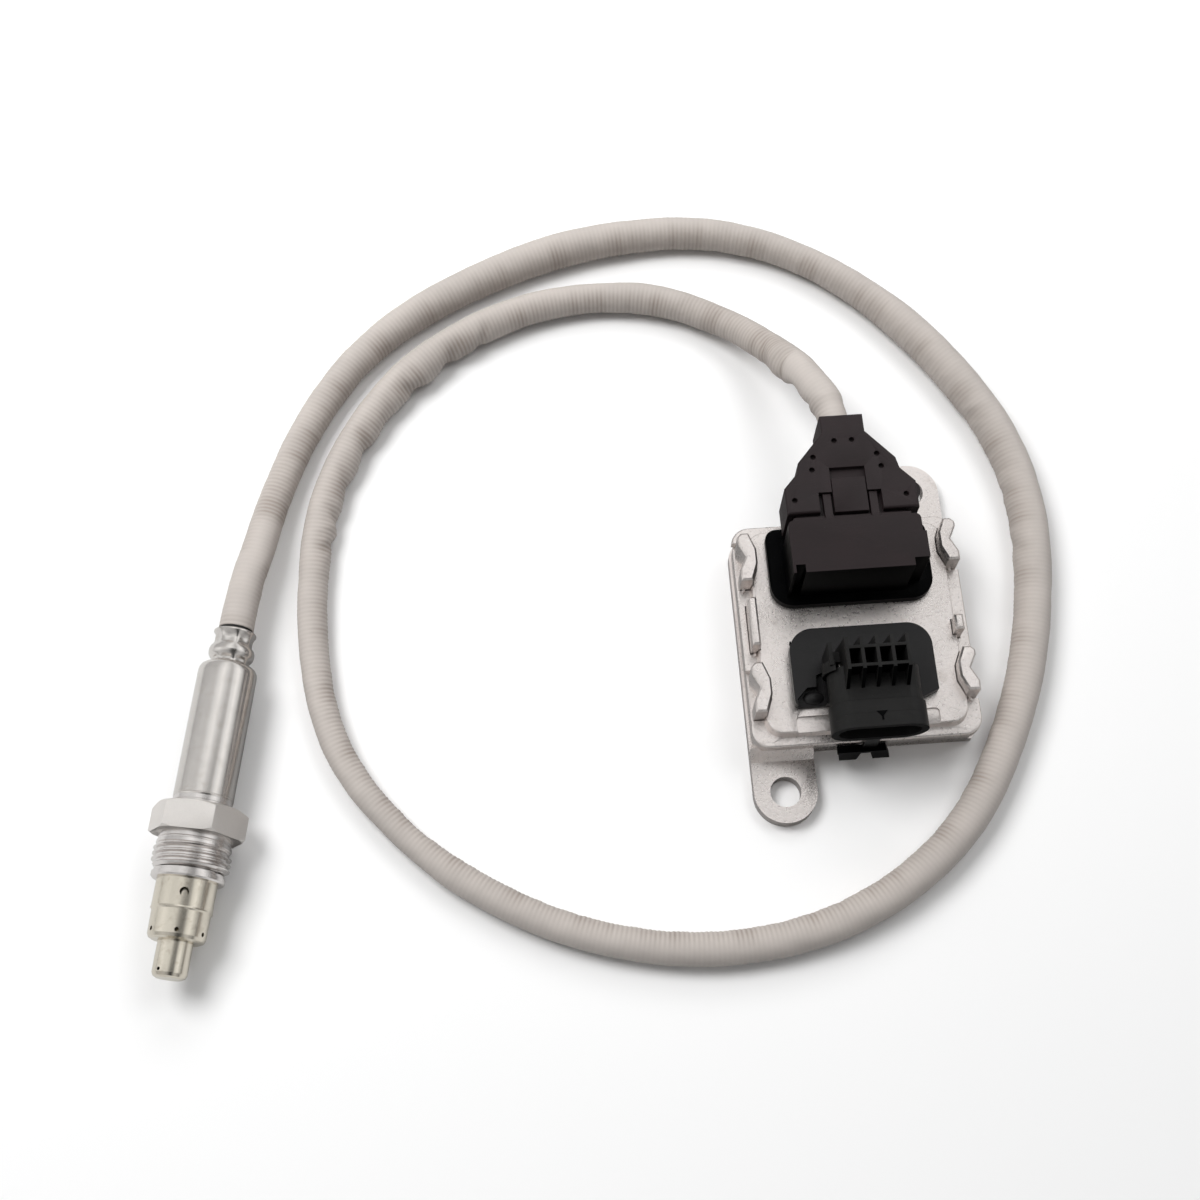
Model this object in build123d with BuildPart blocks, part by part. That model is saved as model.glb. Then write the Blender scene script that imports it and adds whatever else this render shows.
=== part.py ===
from build123d import *
import math
import os

os.makedirs("parts", exist_ok=True)

# Nitrogen oxide sensor: a probe with a union nut, a hose and a control unit with two connectors.
# Millimetres, +Z up. The origin is the middle of the control unit's flat base, X runs across
# the unit and Y along it, towards the cable plug.

# Die-cast housing and its cover
base_width = 61.0
base_length = 62.4
base_flange = 4.0            # height of the wider foot that the ears continue
flange_step = 0.6            # how far the foot stands out past the wall
front_draft = 1.2            # how far the front wall leans in, down to the base
corner_radius = 5.0
rim_height = 13.2            # top of the cover's rim
rim_thickness = 2.6
rim_side_overhang = 0.5
rim_end_overhang = 0.2
plateau_height = 2.8
plateau_inset = 3.0
plateau_draft = 10
plateau_growth = 1.0         # extra length of the plateau
recess_width = 37.6
recess_length = 4.6
recess_depth = 0.6
floor_thickness = 2.6
side_wall = 7.4              # the side walls carry the lugs and the seal
end_wall = 3.0
cavity_corner = 3.0
cover_web = 2.6              # metal left over the cover's inner pocket
seal_thickness = 0.4
seal_width = 1.2
seal_inset = 0.3

# Mounting ears
ear_radius = 8.4
ear_hole_radius = 4.1
front_ear_y = -41.0
rear_ear_y = 43.0
ear_bead = 1.4

# Cast lugs that hold the cover
lug_height = 4.6             # above the cover's plateau
lug_thickness = 3.1
left_lug_length = 13.6
right_lug_length = 12.0
lug_bulge = 1.7
lug_flat = 4.2               # length of the flat on the bulge
lug_notch = 1.8              # hollow in the outer face
lug_notch_reach = 3.6
lug_end_inset = 0.4          # outer face, in from the wall's face
lug_end_corner = 1.1
lug_gap = 0.25
lug_chamfer = 0.5
lug_rows = (20.0, -16.8)
right_lug_shift = 1.4
bar_lug_length = 13.4
bar_lug_inset = 2.6          # middle of the bar, in from the wall's face
bar_lug_y = 1.6
bar_lug_width = 2.2
block_lug_length = 4.1
block_lug_inset = 3.3
block_lug_y = -2.4
block_lug_width = 2.3

# Circuit board and what it carries
board_clearance = 0.5
board_thickness = 1.6
boss_height = 2.4
boss_radius = 2.6
boss_inset = 3.4
screw_radius = 1.25
screw_head_radius = 2.3
screw_head_height = 1.5
screw_grip = 2.0
processor_size = 13.0
driver_size = 9.0
chip_thickness = 1.4
bus_chip_size = 5.0
capacitor_radius = 3.2
capacitor_height = 5.4
choke_size = 7.4
choke_height = 4.2
choke_gap = 0.72             # to the screw heads beside it

# Places on the board, as shares of its width and length from its middle
processor_share = (-0.2, -0.03)
driver_share = (0.16, -0.03)
bus_chip_share = (0.26, -0.39)
choke_length_share = 0.37
capacitor_shares = ((-0.284, -0.39), (-0.284, 0.37), (-0.1, 0.37))

# Pads that both headers spread over the cover
pad_thickness = 3.0
pad_edge = 0.5
header_neck_gap = 0.25
neck_depth = 3.4             # how far a header reaches below the plateau's top

# Vehicle connector: a collar with five blades and a tall grid of ribs behind it.
# Its places along Y are distances behind the unit's front edge.
vehicle_x = 0.7
vehicle_pad_width = 37.8
vehicle_pad_rear = 30.2
vehicle_pad_front = 9.2
vehicle_pad_corner = 6.5
vehicle_pad_small_corner = 1.2
vehicle_pad_cut_width = 5.0  # slanted corner at the front right
vehicle_pad_cut_length = 2.1
hollow_depth = 1.8           # lowered corner of the pad at the front left
hollow_outline = ((-18.2, 0.5), (-18.2, 11.0), (-15.4, 13.9), (-13.0, 14.0), (-12.7, 17.1), (-10.8, 17.9))
collar_width = 23.8
collar_height = 10.8
collar_gap = 1.4             # under the collar, over its pad
collar_wall = 1.3
collar_reach = 1.5           # how far the mouth stands out in front of the unit
collar_rear = 15.1
collar_depth = 13.0
collar_band = 6.9            # length of the wider band at the mouth
collar_band_step = 0.6
hood_reach = 2.0             # hollow hood behind the collar's left end
hood_step = 1.0
hood_wall = 0.9
hood_right = -9.4
blade_pitch = 3.85
blade_count = 5
blade_width = 1.5
blade_thickness = 0.8
blade_tip = 4.5              # how far the blades end behind the mouth
blade_leg = 17.6
rib_rise = 6.2               # ribs above the collar's top
rib_thickness = 0.9
crossbar_thickness = 0.8
rib_rear = 20.6
crossbar_rear = 17.9
crossbar_front = 13.0
rib_front = 8.9
pocket_floor_rise = 1.5      # floor of the pockets above the blades' middle
gusset_length = 2.4
fin_x = -10.2                # thin upright plate left of the ribs
fin_thickness = 1.0
fin_front = 15.6
fin_rear = 21.7
web_front = 17.4
web_rear = 20.2
web_drop = 3.6
lock_height = 7.0
lock_top = 12.0
lock_gap = 0.4               # between the lock and the housing's front
lock_depth = 2.0
lock_bar = 1.2
lock_left_top = (-9.1, -2.8)
lock_left_bottom = (-7.9, -3.4)
lock_right_top = (-0.7, 3.6)
lock_right_bottom = (1.0, 5.5)
bridge_left = -2.6
bridge_right = 1.2
bridge_depth = 0.9

# Cable header: a tall box that is open to the rear
cable_x = -0.4
cable_pad_margin = 4.4       # pad beyond the box, on each side
cable_pad_front = 5.8
cable_pad_rear = 28.0
cable_pad_corner = 6.0
cable_pad_small_corner = 3.0
box_width = 34.8
box_front = 8.0
box_rear = 22.7
box_height = 17.0
box_front_wall = 4.6
box_wall = 1.6
box_notch_width = 3.2
box_notch_depth = 2.2
box_ridge = 0.8
box_corner = 1.5
box_tab_length = 7.4
box_tab_depth = 0.9
cable_columns = 4
cable_column_pitch = 6.6
cable_row_pitch = 6.2
cable_pin_size = 1.0
cable_pin_reach = 5.9        # how far the pins stand into the box
upper_leg_inset = 1.6
lower_leg_inset = 3.2

# Plug of the probe's cable
fit_gap = 0.3
slide_gap = 0.2
contact_gap = 0.05
plug_rear_width = 29.2
plug_rear_height = 10.8
plug_step_y = 24.2
plug_rear_y = 31.0
plug_seal_width = 3.0
plug_seal_depth = 1.0
plug_seal_y = 15.4
terminal_size = 2.2
terminal_rear = 24.5
terminal_length = 9.6
terminal_cell_gap = 0.1
wire_seal_thickness = 2.6
wire_seal_inset = 1.4
arm_width = 2.2
arm_spread = 12.2
arm_height = 1.5
arm_front = 22.9
tongue_width = 9.0
tongue_front = 24.8
tongue_rear = 34.6
tongue_thickness = 1.2
tongue_drop = 0.1

# Wire cover: two shells round the plug's rear
shell_top = 35.0
shell_bottom = 19.6
shell_front = 25.0
shell_rear = 53.2
shell_wall = 1.8
shell_half_width = 17.4
shell_shoulder_y = 32.6
shell_waist_half = 13.7
shell_waist_y = 36.7
shell_waist_top_half = 13.0
shell_waist_top_y = 39.8
shell_neck_half = 5.8
shell_neck_y = 48.1
shell_edge = 0.8
shell_roof = 3.0
shell_notch_width = 16.6
shell_notch_rear = 30.6
tongue_slot_rear = 37.6
vent_radius = 0.75
vent_depth = 1.3
vent_places = ((2.35, 45.5), (8.5, 41.0), (9.2, 37.3), (14.7, 28.8))
lobe_radius = 3.0
lobe_height = 6.0
wire_radius = 0.7
wire_bend = 2.5
wire_bundle_radius = 2.4
wire_straight = 33.0
wire_gather = 45.0

# Hose between the plug and the probe
hose_diameter = 9.0
hose_start = 48.9
hose_gap = 0.1
hose_run_in = 12.0           # straight run before the probe

# Probe, measured along its axis from the mouth of its crimped sleeve
probe_x = -165.72
probe_y = 11.3
probe_heading = -99.92
hex_flats = 22.0
hex_start = 48.7
hex_height = 7.5
hex_rear_circle = 10.8       # radius where the corner chamfer meets the rear face
hex_front_circle = 11.7
nut_neck_radius = 9.45
nut_neck_length = 3.3
thread_radius = 10.0
thread_length = 5.4
thread_chamfer = 0.7
nut_bore_radius = 7.75
nut_clearance = 0.35
sleeve_radius = 7.75
sleeve_wall = 0.5
sleeve_end = 46.4
weld_ring_length = 1.1
weld_ring_drop = 0.1
shoulder_start = 9.4
crimp_neck_radius = 5.0
crimp_first = 2.4            # stations of the first crimp, the bulge and the second crimp
crimp_bulge = 6.2
crimp_last = 9.0
crimp_bulge_radius = 6.05
crimp_mouth_radius = 5.6
collar_ring_start = 65.5
collar_ring_length = 2.2
collar_ring_radius = 9.35
collar_ring_step = 0.45
collar_ring_step_length = 0.8
body_rear = 38.0
body_bore = 5.4
body_seat = 60.0
body_seat_bore = 3.2
body_spigot = 2.0
outer_tube_radius = 7.7
outer_tube_wall = 0.5
outer_tube_step = 74.9
outer_tube_lower_radius = 7.35
outer_tube_end = 83.0
outer_tube_round = 1.2
gas_hole_radius = 1.15
gas_hole_setback = 3.4       # behind the tube's step
gas_hole_count = 4
gas_hole_turn = -13
small_hole_radius = 0.55
small_hole_setback = 2.1     # behind the tube's end
small_hole_count = 6
small_hole_turn = -12
inner_tube_radius = 5.9
inner_tube_wall = 0.4
inner_tube_cone = 79.4
tip_radius = 4.45
tip_end = 92.2
tip_round = 1.2
tip_hole_radius = 0.45
tip_hole_setback = 1.8
tip_hole_turn = 26
element_width = 4.2
element_thickness = 1.3
element_start = 22.0
element_length = 60.0
element_gap = 0.1
powder_start = 50.0
powder_end = 54.5
holder_start = 20.5
holder_length = 13.5
holder_gap = 0.2
spring_count = 4
spring_pitch = 1.05
spring_width = 0.6
spring_thickness = 0.35
grommet_out = 1.0
grommet_length = 10.4
grommet_gap = 0.1

# Heights and widths that follow from the sizes above
wall_width = base_width - 2 * flange_step
wall_length = base_length - 2 * flange_step
rim_width = wall_width + 2 * rim_side_overhang
rim_length = base_length + 2 * rim_end_overhang
rim_bottom = rim_height - rim_thickness
housing_top = rim_bottom - seal_thickness
plateau_top = rim_height + plateau_height
plateau_width = wall_width - 2 * plateau_inset
plateau_length = rim_length - 2 * plateau_inset + plateau_growth
lug_top = plateau_top + lug_height
cavity_width = wall_width - 2 * side_wall
cavity_length = wall_length - 2 * end_wall
ear_x = base_width / 2 - ear_radius
board_width = cavity_width - 2 * board_clearance
board_length = cavity_length - 2 * board_clearance
board_bottom = floor_thickness + boss_height
board_top = board_bottom + board_thickness
screw_x = board_width / 2 - boss_inset
screw_y = board_length / 2 - boss_inset
pin_foot = board_bottom - 0.8
pad_top = plateau_top + pad_thickness
neck_bottom = plateau_top - neck_depth - cover_web

front_face_y = -rim_length / 2
collar_bottom = pad_top + collar_gap
collar_top = collar_bottom + collar_height
collar_middle = (collar_bottom + collar_top) / 2
collar_mouth = front_face_y - collar_reach
collar_rear_y = front_face_y + collar_rear
rib_span = (blade_count - 1) * blade_pitch
rib_block_width = rib_span + rib_thickness
rib_left = vehicle_x - rib_block_width / 2
rib_right = vehicle_x + rib_block_width / 2
rib_top = collar_top + rib_rise
rib_rear_y = front_face_y + rib_rear
rib_front_y = front_face_y + rib_front
crossbar_rear_y = front_face_y + crossbar_rear
crossbar_front_y = front_face_y + crossbar_front
rib_pocket_floor = collar_middle + pocket_floor_rise
blade_leg_y = front_face_y + blade_leg
blade_tip_y = collar_mouth + blade_tip
vehicle_neck_width = rib_span + blade_width + 1.6
vehicle_neck_length = 6.0
vehicle_pad_rear_y = front_face_y + vehicle_pad_rear
vehicle_pad_front_y = front_face_y + vehicle_pad_front
vehicle_pad_length = vehicle_pad_rear - vehicle_pad_front
vehicle_pad_y = (vehicle_pad_rear_y + vehicle_pad_front_y) / 2

box_top = pad_top + box_height
box_cavity_front = box_front + box_front_wall
box_cavity_width = box_width - 2 * box_wall
box_floor = pad_top + box_wall
box_ceiling = box_top - box_wall
box_middle = (box_floor + box_ceiling) / 2
cable_pad_width = box_width + 2 * cable_pad_margin
cable_neck_width = (cable_columns - 1) * cable_column_pitch + 3.0
cable_pad_length = cable_pad_rear - cable_pad_front
cable_pad_y = (cable_pad_rear + cable_pad_front) / 2
cable_pin_tip = box_cavity_front + cable_pin_reach

parting = (shell_top + shell_bottom) / 2
plug_width = box_cavity_width - 2 * fit_gap
plug_bottom = box_floor + fit_gap
plug_top = box_ceiling - fit_gap
plug_front = box_cavity_front + fit_gap
plug_rear_bottom = box_middle - plug_rear_height / 2
plug_rear_top = box_middle + plug_rear_height / 2
hose_radius = hose_diameter / 2

hex_end = hex_start + hex_height
thread_start = hex_end + nut_neck_length
nut_end = thread_start + thread_length
collar_ring_end = collar_ring_start + collar_ring_length
shank_radius = nut_bore_radius - nut_clearance
spigot_radius = inner_tube_radius - inner_tube_wall
gas_hole_station = outer_tube_step - gas_hole_setback
small_hole_station = outer_tube_end - small_hole_setback
tip_hole_station = tip_end - tip_hole_setback
axis_height = hex_flats / 2


# A rounded slab between two heights
def slab(width, length, radius, bottom, top, at=(0, 0), mode=Mode.ADD, taper=0):
    with BuildSketch(Plane.XY.offset(bottom)) as outline:
        with Locations(at):
            RectangleRounded(width, length, radius)
    extrude(outline.sketch, amount=top - bottom, mode=mode, taper=taper)


# A square-edged block between two corners
def block(low, high, mode=Mode.ADD):
    middle = [(a + b) / 2 for a, b in zip(low, high)]
    with Locations(tuple(middle)):
        Box(high[0] - low[0], high[1] - low[1], high[2] - low[2], mode=mode)


# Label a finished piece and write it under the same name
def save(piece, name):
    piece.part.label = name
    export_step(piece.part, f"parts/{name}.step")


# Plan of a cast lug: it bulges to the middle of the unit and is hollow outside, grown by a gap
def chevron(side, middle_y, length, gap):
    outer = wall_width / 2 - lug_end_inset
    inner = outer - lug_thickness
    half = length / 2
    with BuildSketch() as plan:
        with BuildLine():
            Polyline(
                (side * outer, middle_y + half - lug_end_corner),
                (side * (outer - lug_end_corner), middle_y + half),
                (side * inner, middle_y + half),
                (side * (inner - lug_bulge), middle_y + lug_flat / 2),
                (side * (inner - lug_bulge), middle_y - lug_flat / 2),
                (side * inner, middle_y - half),
                (side * outer, middle_y - half),
                (side * outer, middle_y - lug_notch_reach),
                (side * (outer - lug_notch), middle_y),
                (side * outer, middle_y + lug_notch_reach),
                close=True,
            )
        make_face()
        if gap:
            offset(amount=gap, kind=Kind.INTERSECTION)
            window_middle = side * (outer - lug_notch / 2 + rim_width / 4)
            with Locations((window_middle, middle_y)):
                Rectangle(lug_notch + rim_width / 2, length + 2 * gap)
    return plan.sketch


# Plan of a straight lug
def straight_lug(x, y, width, length, gap):
    with BuildSketch() as plan:
        with Locations((x, y)):
            Rectangle(width + 2 * gap, length + 2 * gap)
    return plan.sketch


# Every lug's plan, the same for the housing and for the windows in its cover
def lug_plans(gap):
    plans = [chevron(-1, y, left_lug_length, gap) for y in lug_rows]
    plans += [chevron(1, y + right_lug_shift, right_lug_length, gap) for y in lug_rows]
    bar_x = bar_lug_inset - wall_width / 2
    block_x = wall_width / 2 - block_lug_inset
    plans.append(straight_lug(bar_x, bar_lug_y, bar_lug_width, bar_lug_length, gap))
    plans.append(straight_lug(block_x, block_lug_y, block_lug_width, block_lug_length, gap))
    return plans


# Die-cast housing with its two ears and the lugs
with BuildPart() as lower_housing:
    slab(base_width, base_length, corner_radius, 0, base_flange)
    slab(wall_width, wall_length, corner_radius - flange_step, base_flange, housing_top)
    with BuildSketch(Plane.YZ.offset(-base_width / 2)) as front_lean:
        with BuildLine():
            Polyline(
                (-wall_length / 2, housing_top),
                (-wall_length / 2 + front_draft, 0),
                (-base_length, 0),
                (-base_length, housing_top),
                close=True,
            )
        make_face()
    extrude(front_lean.sketch, amount=base_width, mode=Mode.SUBTRACT)
    for side, ear_y in ((-1, front_ear_y), (1, rear_ear_y)):
        with BuildSketch() as ear:
            with Locations((side * ear_x, ear_y)):
                Circle(ear_radius)
            with Locations((side * ear_x, ear_y / 2)):
                Rectangle(2 * ear_radius, abs(ear_y))
        extrude(ear.sketch, amount=base_flange)
        bead_y = math.copysign(wall_length / 2, ear_y)
        bead_foot_y = bead_y + math.copysign(flange_step + ear_bead, ear_y)
        bead_root_y = bead_y - math.copysign(front_draft, ear_y)
        with BuildSketch(Plane.YZ.offset(side * ear_x - ear_radius)) as bead:
            with BuildLine():
                Polyline(
                    (bead_root_y, base_flange),
                    (bead_foot_y, base_flange),
                    (bead_root_y, base_flange + abs(bead_foot_y - bead_root_y)),
                    close=True,
                )
            make_face()
        extrude(bead.sketch, amount=2 * ear_radius)
    slab(cavity_width, cavity_length, cavity_corner, floor_thickness, housing_top, mode=Mode.SUBTRACT)
    with BuildSketch(Plane.XY.offset(floor_thickness)) as bosses:
        with GridLocations(2 * screw_x, 2 * screw_y, 2, 2):
            Circle(boss_radius)
    extrude(bosses.sketch, amount=boss_height)
    for plan in lug_plans(0):
        extrude(plan, amount=lug_top)
    lug_edges = lower_housing.edges().filter_by_position(Axis.Z, lug_top, lug_top)
    chamfer(lug_edges, lug_chamfer)
    with Locations((-ear_x, front_ear_y, base_flange), (ear_x, rear_ear_y, base_flange)):
        Hole(ear_hole_radius)
    with Locations(Location((0, 0, board_bottom))):
        with GridLocations(2 * screw_x, 2 * screw_y, 2, 2):
            Hole(screw_radius, depth=screw_grip)
save(lower_housing, "lower_housing")

# Cast cover: rim, raised plateau, windows for the lugs and for both headers
with BuildPart() as cover_plate:
    slab(rim_width, rim_length, corner_radius, rim_bottom, rim_height)
    rim_edges = cover_plate.faces().sort_by(Axis.Z)[-1].edges()
    fillet(rim_edges, 0.6)
    slab(plateau_width, plateau_length, corner_radius, rim_height, plateau_top, taper=plateau_draft)
    plateau_edges = cover_plate.faces().sort_by(Axis.Z)[-1].edges()
    fillet(plateau_edges, 0.4)
    recess_middle = -plateau_length / 2 + recess_length / 2
    slab(
        recess_width,
        recess_length,
        1.2,
        plateau_top - recess_depth,
        plateau_top,
        at=(0, recess_middle),
        mode=Mode.SUBTRACT,
    )
    slab(
        cavity_width,
        cavity_length,
        cavity_corner,
        rim_bottom,
        plateau_top - cover_web,
        mode=Mode.SUBTRACT,
    )
    for plan in lug_plans(lug_gap):
        extrude(plan, amount=plateau_top, mode=Mode.SUBTRACT)
    slab(
        vehicle_neck_width + 2 * header_neck_gap,
        vehicle_neck_length + 2 * header_neck_gap,
        1.0,
        rim_bottom,
        plateau_top,
        at=(vehicle_x, blade_leg_y),
        mode=Mode.SUBTRACT,
    )
    slab(
        cable_neck_width + 2 * header_neck_gap,
        box_front_wall + 2 * header_neck_gap,
        1.0,
        rim_bottom,
        plateau_top,
        at=(cable_x, box_front + box_front_wall / 2),
        mode=Mode.SUBTRACT,
    )
save(cover_plate, "cover_plate")

# Flat seal between the housing and its cover
with BuildPart() as cover_seal:
    seal_inner_width = cavity_width + 2 * seal_inset
    seal_inner_length = cavity_length + 2 * seal_inset
    slab(
        seal_inner_width + 2 * seal_width,
        seal_inner_length + 2 * seal_width,
        cavity_corner + seal_width,
        housing_top,
        rim_bottom,
    )
    slab(
        seal_inner_width,
        seal_inner_length,
        cavity_corner,
        housing_top,
        rim_bottom,
        mode=Mode.SUBTRACT,
    )
save(cover_seal, "cover_seal")

# Columns where the pins of both headers stand
blade_columns = [vehicle_x + (i - (blade_count - 1) / 2) * blade_pitch for i in range(blade_count)]
pin_columns = [cable_x + (i - (cable_columns - 1) / 2) * cable_column_pitch for i in range(cable_columns)]
upper_row = box_middle + cable_row_pitch / 2
lower_row = box_middle - cable_row_pitch / 2
upper_leg_y = box_front + upper_leg_inset
lower_leg_y = box_front + lower_leg_inset


# A place on the board from its shares of the board's width and length
def on_board(share):
    return share[0] * board_width, share[1] * board_length


# Circuit board, drilled for its screws and for every pin
with BuildPart() as circuit_board:
    slab(board_width, board_length, 1.5, board_bottom, board_top)
    with BuildSketch(Plane.XY.offset(board_bottom)) as drilling:
        with GridLocations(2 * screw_x, 2 * screw_y, 2, 2):
            Circle(screw_radius + 0.15)
        with Locations([(x, blade_leg_y) for x in blade_columns]):
            Rectangle(blade_width + 4 * contact_gap, blade_thickness + 4 * contact_gap)
        with Locations([(x, y) for x in pin_columns for y in (upper_leg_y, lower_leg_y)]):
            Rectangle(cable_pin_size + 4 * contact_gap, cable_pin_size + 4 * contact_gap)
    extrude(drilling.sketch, amount=board_thickness, mode=Mode.SUBTRACT)
save(circuit_board, "circuit_board")

# Four screws hold the board on its bosses
with BuildPart() as board_screws:
    with BuildSketch(Plane.XY.offset(board_top)) as heads:
        with GridLocations(2 * screw_x, 2 * screw_y, 2, 2):
            Circle(screw_head_radius)
    extrude(heads.sketch, amount=screw_head_height)
    with BuildSketch(Plane.XY.offset(board_top)) as shanks:
        with GridLocations(2 * screw_x, 2 * screw_y, 2, 2):
            Circle(screw_radius - contact_gap)
    extrude(shanks.sketch, amount=-(board_thickness + screw_grip - 0.2))
    with BuildSketch(Plane.XY.offset(board_top + screw_head_height)) as slots:
        with GridLocations(2 * screw_x, 2 * screw_y, 2, 2):
            Rectangle(2.6, 0.6)
            Rectangle(0.6, 2.6)
    extrude(slots.sketch, amount=-0.8, mode=Mode.SUBTRACT)
save(board_screws, "board_screws")

# Chips and parts that stand on the board
processor_place = on_board(processor_share)
with BuildPart() as processor_chip:
    slab(processor_size, processor_size, 0.4, board_top, board_top + chip_thickness, at=processor_place)
save(processor_chip, "processor_chip")

with BuildPart() as driver_chip:
    slab(driver_size, driver_size, 0.4, board_top, board_top + chip_thickness, at=on_board(driver_share))
save(driver_chip, "driver_chip")

bus_chip_place = on_board(bus_chip_share)
with BuildPart() as bus_chip:
    slab(bus_chip_size, bus_chip_size, 0.3, board_top, board_top + chip_thickness, at=bus_chip_place)
save(bus_chip, "bus_chip")

with BuildPart() as buffer_capacitors:
    with BuildSketch(Plane.XY.offset(board_top)) as cans:
        with Locations([on_board(share) for share in capacitor_shares]):
            Circle(capacitor_radius)
    extrude(cans.sketch, amount=capacitor_height)
save(buffer_capacitors, "buffer_capacitors")

choke_x = screw_x - screw_head_radius - choke_gap - choke_size / 2
choke_place = (choke_x, choke_length_share * board_length)
with BuildPart() as choke_coil:
    slab(choke_size, choke_size, 1.5, board_top, board_top + choke_height, at=choke_place)
save(choke_coil, "choke_coil")

# Heat pad between the board, under its processor, and the housing's floor
with BuildPart() as thermal_pad:
    slab(processor_size, processor_size, 0.5, floor_thickness, board_bottom, at=processor_place)
save(thermal_pad, "thermal_pad")


# An angled pin seen from the side: level to its leg, then down through the board
def pin_side(tip_y, leg_y, level, size, gap):
    half = size / 2 + gap
    with BuildSketch(Plane.YZ) as side_view:
        with BuildLine():
            Polyline(
                (tip_y, level - half),
                (tip_y, level + half),
                (leg_y + math.copysign(half, leg_y - tip_y), level + half),
                (leg_y + math.copysign(half, leg_y - tip_y), pin_foot),
                (leg_y - math.copysign(half, leg_y - tip_y), pin_foot),
                (leg_y - math.copysign(half, leg_y - tip_y), level - half),
                close=True,
            )
        make_face()
    return side_view.sketch


# One pin, or its slot when a gap is given, at a column of its header
def add_pin(column, tip_y, leg_y, level, size, width, gap=0, mode=Mode.ADD):
    profile = pin_side(tip_y, leg_y, level, size, gap)
    half_width = width / 2 + gap
    placed = profile.moved(Location((column - half_width, 0, 0)))
    extrude(placed, amount=2 * half_width, dir=(1, 0, 0), mode=mode)


# A stadium-shaped collar section on a plane across Y, grown or shrunk by a step
def collar_section(y, step):
    with BuildSketch(Plane.XZ.offset(-y)) as section:
        with Locations((vehicle_x, collar_middle)):
            RectangleRounded(
                collar_width + 2 * step,
                collar_height + 2 * step,
                collar_height / 2 + step - 0.01,
            )
    return section.sketch


# The left end of that section, for the hood behind the collar
def hood_section(y, step):
    hood_edge = vehicle_x - collar_width / 2 - hood_step
    with BuildSketch(Plane.XZ.offset(-y)) as end_only:
        with Locations(((hood_edge + hood_right) / 2, collar_middle)):
            Rectangle(hood_right - hood_edge, collar_height + 2 * hood_step)
    return collar_section(y, step) & end_only.sketch


# Outline across Y from places in X and Z, extruded to the front
def front_prism(y, corners, depth):
    with BuildSketch(Plane.XZ.offset(-y)) as outline:
        with BuildLine():
            Polyline(*corners, close=True)
        make_face()
    extrude(outline.sketch, amount=depth)


# Outline across X from places in Y and Z, extruded to the right
def side_prism(x, corners, width):
    with BuildSketch(Plane.YZ.offset(x)) as outline:
        with BuildLine():
            Polyline(*corners, close=True)
        make_face()
    extrude(outline.sketch, amount=width)


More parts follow.
